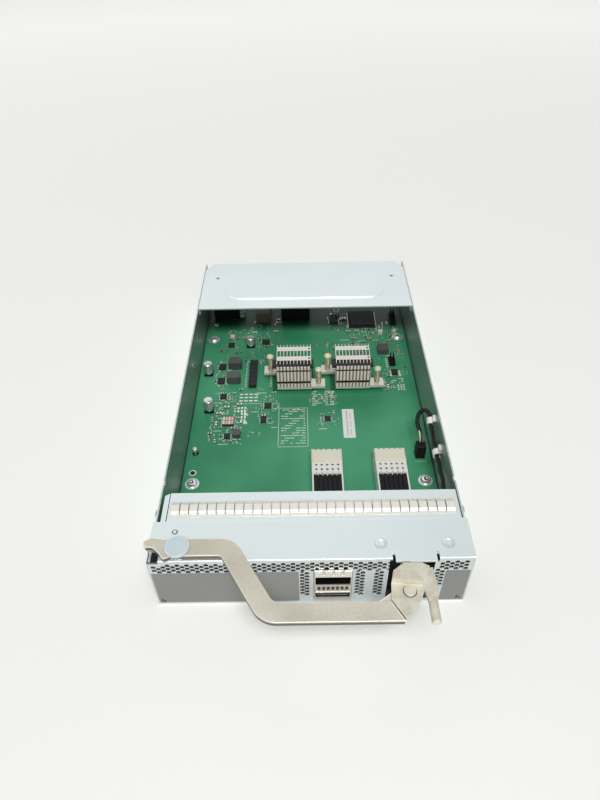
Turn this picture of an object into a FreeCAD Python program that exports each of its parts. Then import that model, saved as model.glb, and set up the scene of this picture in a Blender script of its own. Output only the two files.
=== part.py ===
"""A switch line card: a shallow sheet-metal tray with a circuit board, two cooled chips, two stacked
ports in a perforated front panel, and a swinging ejector handle with a latch.

The frame: X to the right, Y to the rear, Z up, origin in the middle of the tray's floor, on its
underside. Every place along Y in the sheet is counted from the front panel's face."""

import FreeCAD
import Part
import Sketcher
import math
import os

V = FreeCAD.Vector

# ---------------------------------------------------------------- the sizes, in millimetres
SIZES = {
    # sheet metal
    "sheet": 1.0, "slip": 0.1, "tray_length": 273.4, "tray_width": 158.0, "tray_height": 40.2,
    "bend_radius": 1.2, "wall_notch": 48.0, "notch_width": 3.0, "notch_depth": 1.5,
    # front panel
    "panel_side_depth": 22.0, "flange_depth": 42.5, "seat_start": 23.5, "seat_drop": 0.9,
    "seat_left": -76.5, "seat_right": 77.6, "seat_corner": 3.2, "panel_bend": 0.9,
    "tab_left": 41.0, "tab_right": 61.0, "tab_reach": 1.3, "relief_width": 1.4, "relief_depth": 4.0,
    "window_left": 38.4, "window_right": 60.6, "window_low": 3.0, "pin_hole_x": -67.9,
    "pin_hole_y": 17.0, "pin_hole_radius": 0.8, "corner_notch": 6.0, "slit_x": -74.0,
    "slit_width": 0.5,
    # perforation: staggered columns of six-sided holes
    "hole_radius": 1.02, "column_pitch": 2.35, "row_pitch": 2.87, "band_drop": 7.6,
    "band_left": -76.8, "band_pairs": 25, "band_right": 64.2, "right_pairs": 3, "band_rows": 2,
    "side_column": -4.3, "port_column": 23.4, "latch_column": 32.7, "column_rows": 8,
    "short_rows": 5,
    # rear cover
    "cover_front": 211.0, "cover_gap": 0.1, "cover_chamfer_x": 5.0, "cover_chamfer_y": 10.0,
    "cover_flange": 4.0, "emboss_half": 46.6, "emboss_radius": 14.0, "emboss_y": 236.0,
    "emboss_rise": 0.8, "cover_screw_x": 67.5, "cover_screw_y": 252.0, "cover_tab_reach": 62.0,
    "cover_tab_length": 12.0, "screw_radius": 1.5, "screw_head_radius": 2.4, "screw_slip": 0.06,
    # finger strips
    "finger_pitch": 4.75, "finger_gap": 0.45, "finger_depth": 9.7, "finger_rise": 1.9,
    "finger_foot": 1.4, "finger_metal": 0.3, "top_strip_left": -72.0, "top_fingers": 31,
    "strip_front": 26.8, "side_fingers": 7, "side_strip_low": 3.2,
    # handle
    "pivot_x": -64.7, "pivot_y": 6.0, "handle_gap": 0.4, "handle_thick": 3.0, "handle_width": 10.0,
    "arm_length": 24.3, "slope_run": 20.4, "slope_drop": 34.5, "bar_end": 100.4, "end_slant": 5.7,
    "outer_bend": 13.0, "upper_inner_bend": 1.6, "lower_inner_bend": 6.0, "handle_round": 0.7,
    "tongue_thick": 1.3, "tongue_radius": 5.2, "pivot_radius": 3.0, "pivot_head_radius": 6.2,
    "pivot_head": 1.3, "pivot_collar": 5.0, "pivot_slip": 0.1,
    # latch
    "latch_x": 44.8, "latch_y": -19.0, "latch_plate": 1.6, "latch_raise": 3.4, "latch_slip": 0.2,
    "latch_rivet_radius": 1.9, "latch_head_radius": 2.9, "latch_head": 0.9, "post_radius": 2.2,
    "post_length": 12.0, "nose_left": 44.5, "nose_width": 4.5, "nose_drop": 10.2, "nose_height": 6.0,
    "nose_reach": 4.5, "web_front": -10.0, "web_rear": -7.5, "tooth": 1.2, "tooth_length": 2.0,
    "spring_radius": 3.3, "spring_wire": 0.5, "spring_height": 1.6,
    # keeper and switch
    "keeper_left": 31.0, "keeper_right": 71.5, "keeper_front": 3.5, "keeper_rear": 15.0,
    "keeper_leg_gap": 0.8, "keeper_rivet_x": 34.7, "keeper_rivet_y": 8.95,
    "keeper_rivet_span": 33.2, "keeper_rivet_radius": 1.9, "keeper_rivet_head": 2.8,
    "switch_left": 38.0, "switch_length": 12.0, "switch_depth": 6.4, "switch_height": 6.0,
    "switch_front": 6.4, "plunger": 0.7,
    # ports
    "cage_left": 1.7, "cage_right": 20.6, "cage_low": 3.2, "cage_high": 31.8, "cage_wall": 0.6,
    "cage_depth": 48.0, "cage_front": 0.8, "cage_gap": 0.3, "collar_depth": 2.6,
    "upper_port_low": 18.2, "upper_port_high": 25.6, "lower_port_high": 10.8, "insert_depth": 10.0,
    "port_depth": 38.0, "window_count": 7, "light_width": 1.6, "light_pitch": 2.35, "light_low": 1.6,
    "light_high": 1.2, "light_depth": 3.0, "insert_ease": 0.05, "insert_recess": 0.3,
    "receptacle_depth": 8.0, "tongue_reach": 6.0, "tongue_inset": 2.0, "tongue_metal": 1.4,
    "comb_fingers": 4, "comb_gap": 1.7, "comb_metal": 0.4, "comb_bar": 1.2, "comb_rise": 0.9,
    "comb_edge": 0.4,
    # board
    "board_low": 4.0, "board_thick": 1.6, "board_gap": 0.6, "board_front": 4.0, "board_rear": 270.0,
    "mount_x": 71.1, "mount_y": 76.1, "mount_span": 142.9, "mount_hole": 1.7, "standoff_radius": 3.0,
    "shank_radius": 2.1, "thread_radius": 1.35, "board_screw_head": 3.1, "board_screw_rise": 2.0,
    "ring_hole_x": -71.8, "ring_hole_y": 84.8, "ring_span": 16.2, "ring_hole": 1.6,
    "support_height": 5.0,
    # cooled chips
    "chip_left": -24.0, "chip_wide": 29.0, "chip_front": 159.0, "chip_deep": 26.6, "chip_tall": 1.2,
    "lid_inset": 2.0, "lid_tall": 1.3, "sink_x": -8.6, "sink_y": 169.75, "sink_span": 41.0,
    "sink_wide": 24.0, "sink_deep": 24.5, "sink_base": 2.0, "sink_tall": 20.4, "fin_count": 11,
    "fin_pitch": 2.34, "fin_metal": 0.4, "fin_bar_gap": 0.6, "fin_face_low": 2.6, "fin_slot": 1.2,
    "fin_slot_deep": 1.2, "fin_neck": 0.5, "fin_face_high": 13.8, "fin_notch": 4.0,
    "fin_notch_drop": 5.0, "sink_root": 0.1, "band_metal": 0.4, "band_depth": 4.2, "front_band": 7.4,
    "rear_band": 17.9, "ear_reach": 9.6, "ear_depth": 8.2, "ear_inset": 0.7, "ear_hole": 1.6,
    "ear_pin": 5.0, "pin_shaft": 1.2, "pin_head_radius": 2.4, "pin_head": 2.0, "pin_tall": 15.6,
    "pin_spring_radius": 2.0,
    # signal connectors
    "signal_x": 11.3, "signal_span": 38.65, "signal_wide": 18.8, "signal_rear": 93.0,
    "signal_block": 10.0, "signal_tall": 11.6, "signal_deck": 9.2, "signal_deck_tall": 10.8,
    "signal_front": 50.0, "signal_wall": 0.9, "signal_holes": 5, "signal_hole_pitch": 3.3,
    "signal_hole": 0.75, "signal_tooth": 0.8, "signal_tooth_deep": 1.4, "wafer_count": 6, "wafer_tall": 9.8, "wafer_groove": 0.6,
    # other things on the board
    "can_radius": 3.15, "can_tall": 10.0, "short_can_tall": 8.0, "can_base": 1.2,
    "front_can_x": -66.9, "front_can_y": 140.3, "middle_can_x": -71.0, "middle_can_y": 178.7,
    "rear_can_x": -42.0, "rear_can_y": 211.0,
    "coil_wide": 9.0, "coil_deep": 7.0, "coil_tall": 6.4, "coil_x": -52.1, "coil_y": 170.0,
    "coil_span": 16.0, "block_x": -38.5, "block_front": 162.4, "block_wide": 5.6, "block_deep": 4.3,
    "block_tall": 2.8, "block_pitch": 4.72, "block_count": 6,
    # header pins
    "header_pitch": 2.0, "header_wide": 4.6, "header_base": 2.4, "header_pin": 0.3,
    "header_tall": 7.0, "right_header_x": 63.4, "right_header_y": 188.0, "right_header_count": 4,
    "rear_header_x": 69.7, "rear_header_y": 241.3, "rear_header_count": 7,
    # rear connectors
    "rear_face": 271.5, "power_x": -63.0, "power_wide": 20.0, "power_front": 246.0,
    "power_tall": 14.0, "data_x": -7.7, "data_wide": 22.6, "data_front": 243.0, "data_tall": 20.0,
    "framed_x": -33.5, "framed_wide": 11.0, "framed_front": 240.0, "framed_tall": 9.0,
    "blade_count": 5, "blade_gap": 1.6, "contact_rows": 8, "contact_size": 1.4,
    # cable
    "plug_x": 70.4, "plug_wide": 5.8, "plug_front": 93.7, "plug_deep": 6.0, "plug_tall": 10.4,
    "cable_radius": 1.4, "clip_wide": 4.0, "clip_metal": 0.8, "clip_slip": 0.45, "clip_foot": 3.0,
    "cable_wall_gap": 0.6, "terminal_reach": 1.6, "front_clip_y": 80.0, "front_clip_z": 25.6,
    "rear_clip_y": 104.3, "rear_clip_z": 28.3, "rear_clip_slant": 26.6,
}

# flat chips: middle x, middle y, width, depth, height above the board
CHIPS = {
    "timer_chip": (-56.9, 211.0, 5.0, 5.0, 1.2), "driver_chip": (-30.6, 214.0, 6.0, 5.0, 1.5),
    "monitor_chip": (-58.3, 153.3, 4.6, 4.6, 1.0), "clock_chip": (-26.9, 143.3, 5.0, 5.0, 1.0),
    "memory_chip": (-29.5, 129.6, 4.0, 5.0, 1.4), "sensor_chip": (13.7, 130.0, 4.2, 4.2, 1.0),
    "regulator_chip": (-52.8, 115.0, 4.0, 4.0, 1.2), "converter_chip": (-53.1, 128.7, 8.0, 8.0, 1.6),
    "switch_chip_one": (-61.5, 185.0, 5.2, 5.6, 1.4), "switch_chip_two": (-61.3, 169.6, 5.2, 5.6, 1.4),
    "buffer_chip": (64.0, 176.2, 4.4, 5.0, 1.6), "logic_chip": (22.7, 240.0, 7.0, 6.0, 1.6),
}
for chip, values in CHIPS.items():
    for part, number in zip(("x", "y", "wide", "deep", "tall"), values):
        SIZES[f"{chip}_{part}"] = number
SIZES.update({"big_chip_x": 45.0, "big_chip_y": 241.4, "big_chip_wide": 21.0, "big_chip_tall": 2.6,
              "small_coil_x": -46.7, "small_coil_y": 116.6, "small_coil_wide": 5.0,
              "right_coil_x": 57.9, "right_coil_y": 201.3, "right_coil_wide": 8.0,
              "small_coil_tall": 3.0, "right_coil_tall": 4.5})

DOC = FreeCAD.newDocument("line_card")


# ---------------------------------------------------------------- sizes bound to the sheet
class Size:
    """A number together with the sheet expression that gives it."""

    def __init__(self, number, text=None):
        self.number = float(number)
        self.text = text or f"({self.number!r})"

    def combine(self, other, sign, number):
        return Size(number, f"({self.text} {sign} {other.text})")

    def __add__(self, other):
        other = size(other)
        return self.combine(other, "+", self.number + other.number)

    def __sub__(self, other):
        other = size(other)
        return self.combine(other, "-", self.number - other.number)

    def __mul__(self, other):
        other = size(other)
        return self.combine(other, "*", self.number * other.number)

    def __truediv__(self, other):
        other = size(other)
        return self.combine(other, "/", self.number / other.number)

    def __radd__(self, other):
        return size(other) + self

    def __rsub__(self, other):
        return size(other) - self

    def __rmul__(self, other):
        return size(other) * self

    def __neg__(self):
        return Size(-self.number, f"(-1 * {self.text})")

    def root(self):
        return Size(math.sqrt(self.number), f"sqrt({self.text})")


def size(value):
    return value if isinstance(value, Size) else Size(value)


class SizeSheet:
    """The document's spreadsheet: S.name is the size in the cell with that alias."""

    def __init__(self, sizes):
        self.sizes = sizes
        sheet = DOC.addObject("Spreadsheet::Sheet", "Sizes")
        for row, (alias, number) in enumerate(sizes.items(), start=1):
            sheet.set(f"A{row}", alias)
            sheet.set(f"B{row}", repr(number))
            sheet.setAlias(f"B{row}", alias)
        DOC.recompute()

    def __getattr__(self, alias):
        return Size(self.sizes[alias], f"Sizes.{alias}")


S = SizeSheet(SIZES)
BOARD_TOP = S.board_low + S.board_thick
SEAT_TOP = S.tray_height - S.seat_drop
HANDLE_LOW = S.tray_height + S.handle_gap
NOSE_LOW = S.tray_height - S.nose_drop
SWITCH_LOW = S.tray_height - 2 * S.sheet - S.slip - S.switch_height
SWITCH_TERMINAL_Z = SWITCH_LOW + 2.45


# ---------------------------------------------------------------- modelling helpers
def bind(thing, path, value):
    thing.setExpression(path, size(value).text)


def new_body(label, x=0, from_front=0, z=0):
    """A body whose own origin lies at x, at from_front behind the panel's face, and at z."""
    body = DOC.addObject("PartDesign::Body", label)
    body.Label = label
    body.AllowCompound = True
    bind(body, "Placement.Base.x", x)
    bind(body, "Placement.Base.y", size(from_front) - S.tray_length / 2)
    bind(body, "Placement.Base.z", z)
    return body


def origin_feature(body, role):
    return next(part for part in body.Origin.OriginFeatures if part.Role == role)


def sketch(body, plane="XY", at=0):
    """A sketch on one of the body's own planes, moved by at along +Z, +Y or +X."""
    made = body.newObject("Sketcher::SketchObject", f"{body.Label}_outline")
    made.AttachmentSupport = [(origin_feature(body, f"{plane}_Plane"), "")]
    made.MapMode = "FlatFace"
    bind(made, "AttachmentOffset.Base.z", -size(at) if plane == "XZ" else at)
    return made


def hold(outline, kind, index, position, value):
    """Constrain one coordinate of a point to a size."""
    number = outline.addConstraint(
        Sketcher.Constraint(kind, -1, 1, index, position, size(value).number))
    bind(outline, f"Constraints[{number}]", value)


def polygon(outline, corners):
    """A closed outline through corners, each coordinate bound to its size."""
    points = [V(size(x).number, size(y).number, 0) for x, y in corners]
    count = len(points)
    lines = [Part.LineSegment(points[i], points[(i + 1) % count]) for i in range(count)]
    index = outline.addGeometry(lines, False)
    outline.addConstraint([Sketcher.Constraint("Coincident", index[i], 2, index[(i + 1) % count], 1)
                           for i in range(count)])
    for i, (x, y) in enumerate(corners):
        hold(outline, "DistanceX", index[i], 1, x)
        hold(outline, "DistanceY", index[i], 1, y)
    return outline


def rectangle(outline, left, low, right, high):
    return polygon(outline, [(left, low), (right, low), (right, high), (left, high)])


def circle(outline, x, y, radius):
    centre = V(size(x).number, size(y).number, 0)
    index = outline.addGeometry(Part.Circle(centre, V(0, 0, 1), size(radius).number), False)
    hold(outline, "DistanceX", index, 3, x)
    hold(outline, "DistanceY", index, 3, y)
    number = outline.addConstraint(Sketcher.Constraint("Radius", index, size(radius).number))
    bind(outline, f"Constraints[{number}]", radius)
    return outline


def hexagon(outline, x, y, radius):
    """A six-sided hole with a corner at each side."""
    rise = size(radius) * 3 ** 0.5 / 2
    half = size(radius) / 2
    return polygon(outline, [(x + radius, y), (x + half, y + rise), (x - half, y + rise),
                             (x - radius, y), (x - half, y - rise), (x + half, y - rise)])


def stadium(outline, half_length, y, radius):
    """Two half circles joined by two straight sides, centred on x = 0."""
    reach, middle, bend = (size(v).number for v in (half_length, y, radius))
    up, across = V(0, 0, 1), math.pi / 2
    index = outline.addGeometry([
        Part.ArcOfCircle(Part.Circle(V(-reach, middle, 0), up, bend), across, 3 * across),
        Part.LineSegment(V(-reach, middle - bend, 0), V(reach, middle - bend, 0)),
        Part.ArcOfCircle(Part.Circle(V(reach, middle, 0), up, bend), -across, across),
        Part.LineSegment(V(reach, middle + bend, 0), V(-reach, middle + bend, 0))], False)
    left, bottom, right, top = index
    outline.addConstraint([Sketcher.Constraint("Tangent", left, 2, bottom, 1),
                           Sketcher.Constraint("Tangent", bottom, 2, right, 1),
                           Sketcher.Constraint("Tangent", right, 2, top, 1),
                           Sketcher.Constraint("Tangent", top, 2, left, 1)])
    hold(outline, "DistanceX", left, 3, -size(half_length))
    hold(outline, "DistanceY", left, 3, y)
    hold(outline, "DistanceX", right, 3, half_length)
    hold(outline, "DistanceY", right, 3, y)
    number = outline.addConstraint(Sketcher.Constraint("Radius", left, bend))
    bind(outline, f"Constraints[{number}]", radius)
    return outline


def faces_plus_y(outline):
    return "XZ" in outline.AttachmentSupport[0][0].Role


def pad(body, outline, length):
    """Material from the outline along +Z, +Y or +X."""
    made = body.newObject("PartDesign::Pad", f"{body.Label}_pad")
    made.Profile = outline
    made.Reversed = faces_plus_y(outline)
    bind(made, "Length", length)
    return made


def cut(body, outline, length):
    """A pocket from the outline along +Z, +Y or +X."""
    made = body.newObject("PartDesign::Pocket", f"{body.Label}_pocket")
    made.Profile = outline
    made.Reversed = not faces_plus_y(outline)
    bind(made, "Length", length)
    return made


def box(body, low, high):
    """A block between two corners, each an (x, y, z) in the body's own frame."""
    outline = rectangle(sketch(body, "XY", low[2]), low[0], low[1], high[0], high[1])
    return pad(body, outline, size(high[2]) - low[2])


def box_cut(body, low, high):
    outline = rectangle(sketch(body, "XY", low[2]), low[0], low[1], high[0], high[1])
    return cut(body, outline, size(high[2]) - low[2])


def post(body, x, y, radius, low, high):
    return pad(body, circle(sketch(body, "XY", low), x, y, radius), size(high) - low)


def hole(body, x, y, radius, low, high):
    return cut(body, circle(sketch(body, "XY", low), x, y, radius), size(high) - low)


def turn(body, corners):
    """A body of revolution about Z from corners (radius, height)."""
    outline = polygon(sketch(body, "XZ"), corners)
    made = body.newObject("PartDesign::Revolution", f"{body.Label}_turned")
    made.Profile = outline
    made.ReferenceAxis = (origin_feature(body, "Z_Axis"), [""])
    made.Angle = 360
    return made


def repeat(body, feature, axis, pitch, count, second=None):
    """Repeat a feature count times at a pitch; second is another (axis, pitch, count)."""
    made = body.newObject("PartDesign::LinearPattern", f"{body.Label}_repeat")
    made.Originals = feature if isinstance(feature, list) else [feature]
    made.Direction = (origin_feature(body, f"{axis}_Axis"), [""])
    bind(made, "Length", size(pitch) * (size(count) - 1))
    bind(made, "Occurrences", count)
    if second:
        other, other_pitch, other_count = second
        made.Direction2 = (origin_feature(body, f"{other}_Axis"), [""])
        bind(made, "Length2", size(other_pitch) * (size(other_count) - 1))
        bind(made, "Occurrences2", other_count)
    body.Tip = made
    return made


def mirror(body, features):
    """Repeat features on the other side of the card's middle plane."""
    made = body.newObject("PartDesign::Mirrored", f"{body.Label}_mirror")
    made.Originals = features
    made.MirrorPlane = (origin_feature(body, "YZ_Plane"), [""])
    body.Tip = made
    return made


def edges_where(feature, test):
    """Names of the edges whose two ends and middle all satisfy test(point)."""
    DOC.recompute()
    names = []
    for number, edge in enumerate(feature.Shape.Edges, start=1):
        ends = [vertex.Point for vertex in edge.Vertexes]
        middle = edge.valueAt((edge.FirstParameter + edge.LastParameter) / 2)
        if all(test(point) for point in ends + [middle]):
            names.append(f"Edge{number}")
    return names


def soften(body, feature, radius, test, kind="Fillet"):
    """Round (or chamfer) the edges that test picks."""
    names = edges_where(feature, test)
    made = body.newObject(f"PartDesign::{kind}", f"{body.Label}_{kind.lower()}")
    made.Base = (feature, names)
    bind(made, "Radius" if kind == "Fillet" else "Size", radius)
    body.Tip = made
    return made


def near(a, b, reach=0.02):
    return abs(a - size(b).number) < reach


# ---------------------------------------------------------------- sheet metal
def base_tray():
    """The folded U: floor and two walls, lower at the front where the panel's flange lies on them."""
    body = new_body("base_tray")
    half, inner = S.tray_width / 2, S.tray_width / 2 - S.sheet
    start = S.sheet + S.slip
    outline = polygon(sketch(body, "XZ", start), [
        (-half, 0), (half, 0), (half, S.tray_height), (inner, S.tray_height), (inner, S.sheet),
        (-inner, S.sheet), (-inner, S.tray_height), (-half, S.tray_height)])
    walls = pad(body, outline, S.tray_length - start)
    soften(body, walls, S.bend_radius, lambda p: near(p.z, 0) and near(abs(p.x), half))
    flange_under = S.tray_height - S.sheet - S.slip
    box_cut(body, (-half - 1, 0, flange_under), (half + 1, S.seat_start + S.slip, S.tray_height + 1))
    notch_low = S.tray_height - S.notch_depth
    box_cut(body, (-half - 1, S.wall_notch, notch_low),
            (half + 1, S.wall_notch + S.notch_width, S.tray_height + 1))
    tab_low = S.tray_height - 2 * S.sheet
    tab_front = S.cover_screw_y - S.cover_tab_length / 2
    tab = box(body, (-inner - S.sheet / 2, tab_front, tab_low),
              (-S.cover_tab_reach, tab_front + S.cover_tab_length, tab_low + S.sheet))
    screw = hole(body, -S.cover_screw_x, S.cover_screw_y, S.screw_radius, tab_low - 2,
                 tab_low + S.sheet + 2)
    mirror(body, [tab, screw])
    shank = hole(body, -S.mount_x, S.mount_y, S.shank_radius, -1, S.sheet + 1)
    repeat(body, shank, "X", 2 * S.mount_x, 2, ("Y", S.mount_span, 2))
    return body


def front_panel():
    """The perforated face folded with two side flanges and the long top flange."""
    body = new_body("folded_panel")
    half = S.tray_width / 2 + S.sheet
    top = S.tray_height
    face = pad(body, rectangle(sketch(body, "XZ"), -half, 0, half, top), S.sheet)
    box(body, (-half, 0, top - S.sheet), (half, S.seat_start, top))
    for left in (-half, half - S.sheet):
        box(body, (left, 0, 0), (left + S.sheet, S.panel_side_depth, top))
    seat_front = S.seat_start - S.sheet
    corner = S.flange_depth - S.seat_corner / 2
    seat = polygon(sketch(body, "XY", SEAT_TOP - S.sheet), [
        (S.seat_left, seat_front), (S.seat_right, seat_front), (S.seat_right, S.flange_depth),
        (S.seat_left + S.seat_corner, S.flange_depth), (S.seat_left, corner)])
    last = pad(body, seat, S.sheet)
    soften(body, last, S.panel_bend,
           lambda p: near(p.y, 0) and (near(abs(p.x), half) or near(p.z, top)))
    box(body, (S.tab_left, -S.tab_reach, top - S.sheet), (S.tab_right, S.sheet, top))
    for left in (S.tab_left - S.relief_width, S.tab_right):
        box_cut(body, (left, -1, S.tray_height - 3 * S.sheet),
                (left + S.relief_width, S.relief_depth, top + 1))
    box_cut(body, (-half - 1, -1, top - 2 * S.sheet),
            (-half + S.corner_notch, S.corner_notch, top + 1))
    box_cut(body, (S.slit_x, S.seat_start, SEAT_TOP - 2 * S.sheet),
            (S.slit_x + S.slit_width, S.flange_depth + 1, SEAT_TOP + 1))
    window = rectangle(sketch(body, "XZ", -1), S.window_left, S.window_low, S.window_right,
                       top - S.sheet)
    cut(body, window, 1 + S.sheet)
    gap = S.cage_gap
    port = rectangle(sketch(body, "XZ", -1), S.cage_left - gap, S.cage_low - gap,
                     S.cage_right + gap, S.cage_high + gap)
    cut(body, port, 2 + S.sheet)
    hole(body, S.pivot_x, S.pivot_y, S.pivot_radius + S.pivot_slip, top - 2, top + 1)
    hole(body, S.pin_hole_x, S.pin_hole_y, S.pin_hole_radius, top - 2, top + 1)
    rivet = hole(body, S.keeper_rivet_x, S.keeper_rivet_y, S.keeper_rivet_radius + S.slip, top - 2,
                 top + 1)
    repeat(body, rivet, "X", S.keeper_rivet_span, 2)
    return perforated(body)


def perforated(folded):
    """The folded panel with every six-sided hole punched through its face in one cut."""
    band_low = S.tray_height - S.band_drop
    column_top = band_low - S.row_pitch
    band_top = band_low + S.row_pitch
    second_pair = S.band_left + 2 * S.column_pitch
    places = staggered(S.band_left, band_top, 1, S.band_rows)
    places += staggered(second_pair, band_top, S.band_pairs - 1, S.band_rows, taller=1)
    places += staggered(S.band_right, band_top, S.right_pairs, S.band_rows, taller=1)
    for left in (S.side_column, S.port_column, S.latch_column):
        places += staggered(left, column_top, 1, S.column_rows)
    places += staggered(S.window_right + 2 * S.hole_radius, column_top, 1, S.short_rows)
    punches = DOC.addObject("Part::Feature", "hole_punches")
    punches.Shape = Part.makeCompound([punch(x, z) for x, z in places])
    punches.Placement = FreeCAD.Placement(V(0, -S.tray_length.number / 2, 0), FreeCAD.Rotation())
    panel = DOC.addObject("Part::Cut", "front_panel")
    panel.Label = "front_panel"
    panel.Base, panel.Tool = folded, punches
    return panel


def staggered(left, high, pairs, rows, taller=0):
    """Places of holes: pairs of columns to the right, the second half a row lower.

    With taller, the second column has that many more holes and starts above the first."""
    places = []
    for column in range(2 * int(size(pairs).number)):
        second = column % 2
        drop = (0.5 - taller) * S.row_pitch.number * second
        for row in range(int(size(rows).number) + taller * second):
            places.append((left.number + column * S.column_pitch.number,
                           high.number - drop - row * S.row_pitch.number))
    return places


def punch(x, z):
    """A six-sided prism through the face, with a corner at each side."""
    before, depth = -S.sheet.number, 3 * S.sheet.number
    angles = [math.radians(60 * corner) for corner in range(7)]
    corners = [V(x + S.hole_radius.number * math.cos(angle), before,
                 z + S.hole_radius.number * math.sin(angle)) for angle in angles]
    return Part.Face(Part.makePolygon(corners)).extrude(V(0, depth, 0))


def rear_cover():
    """The flat cover over the rear, with one pressed stadium and countersunk screw holes."""
    body = new_body("rear_cover")
    half = S.tray_width / 2 - S.sheet - S.cover_gap
    low, top, rear = S.tray_height - S.sheet, S.tray_height, S.tray_length
    corner = rear - S.cover_chamfer_y
    plate = polygon(sketch(body, "XY", low), [
        (-half, S.cover_front), (half, S.cover_front), (half, corner),
        (half - S.cover_chamfer_x, rear), (-half + S.cover_chamfer_x, rear), (-half, corner)])
    pad(body, plate, S.sheet)
    flange_end = S.cover_screw_y - S.cover_tab_length
    for left in (-half, half - S.sheet):
        box(body, (left, S.cover_front, low - S.cover_flange), (left + S.sheet, flange_end, top))
    raised = pad(body, stadium(sketch(body, "XY", top), S.emboss_half, S.emboss_y,
                               S.emboss_radius), S.emboss_rise)
    high = top + S.emboss_rise
    soften(body, raised, S.emboss_rise * 0.7, lambda p: near(p.z, high), "Chamfer")
    cut(body, stadium(sketch(body, "XY", low), S.emboss_half, S.emboss_y,
                      S.emboss_radius - S.sheet), S.emboss_rise)
    place = circle(sketch(body, "XY", top), -S.cover_screw_x, S.cover_screw_y, S.screw_radius)
    circle(place, S.cover_screw_x, S.cover_screw_y, S.screw_radius)
    DOC.recompute()
    countersink = body.newObject("PartDesign::Hole", "rear_cover_countersink")
    countersink.Profile = place
    countersink.DepthType = "ThroughAll"
    countersink.HoleCutType = "Countersink"
    countersink.HoleCutCustomValues = True
    bind(countersink, "Diameter", 2 * S.screw_radius)
    bind(countersink, "HoleCutDiameter", 2 * S.screw_head_radius)
    countersink.HoleCutCountersinkAngle = 90
    return body


def rear_cover_screws():
    """Two countersunk screws, flush with the cover and held in the tray's tabs."""
    body = new_body("rear_cover_screws", -S.cover_screw_x, S.cover_screw_y, S.tray_height)
    shank = S.screw_radius - S.screw_slip
    head = S.screw_head_radius - S.screw_slip
    screw = turn(body, [(0, -4), (shank - 0.4, -4), (shank, -3.6), (shank, shank - head),
                        (head, 0), (0.9, 0), (0.9, -0.7), (0, -0.7)])
    repeat(body, screw, "X", 2 * S.cover_screw_x, 2)
    return body


def finger_strip(label, length, count, x, z, spot):
    """A strip of spring fingers; spot(along, out) turns its section into sketch coordinates."""
    body = new_body(label, x, S.strip_front, z)
    upright = label != "top_gasket"
    metal, rise, deep = S.finger_metal, S.finger_rise, S.finger_depth
    outer = [(0, 0), (0, metal), (S.finger_foot, metal), (deep * 0.3, rise * 0.85),
             (deep * 0.5, rise), (deep * 0.72, rise * 0.85), (deep * 0.95, metal * 1.6),
             (deep, metal * 2)]
    inner = [(deep, metal), (deep * 0.92, metal * 0.4), (deep * 0.7, rise * 0.85 - metal),
             (deep * 0.5, rise - metal), (deep * 0.32, rise * 0.85 - metal),
             (S.finger_foot + metal, 0)]
    outline = sketch(body, "XY" if upright else "YZ")
    polygon(outline, [spot(along, out) for along, out in outer + inner])
    pad(body, outline, length)
    first = S.finger_pitch - S.finger_gap / 2
    far = rise + 1
    if upright:
        side = 1 if spot(0, 1)[0].number > 0 else -1
        outs = (size(-0.5), far) if side > 0 else (-far, size(0.5))
        slot = box_cut(body, (outs[0], S.finger_foot, first), (outs[1], deep + 1,
                                                               first + S.finger_gap))
        repeat(body, slot, "Z", S.finger_pitch, size(count) - 1)
    else:
        slot = box_cut(body, (first, S.finger_foot, -1), (first + S.finger_gap, deep + 1, far))
        repeat(body, slot, "X", S.finger_pitch, size(count) - 1)
    return body


def gaskets():
    top_length = S.finger_pitch * S.top_fingers
    side_length = S.finger_pitch * S.side_fingers
    wall = S.tray_width / 2
    return [
        finger_strip("top_gasket", top_length, S.top_fingers, S.top_strip_left, SEAT_TOP,
                     lambda along, out: (size(along), size(out))),
        finger_strip("left_gasket", side_length, S.side_fingers, -wall, S.side_strip_low,
                     lambda along, out: (-size(out), size(along))),
        finger_strip("right_gasket", side_length, S.side_fingers, wall, S.side_strip_low,
                     lambda along, out: (size(out), size(along))),
    ]


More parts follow.
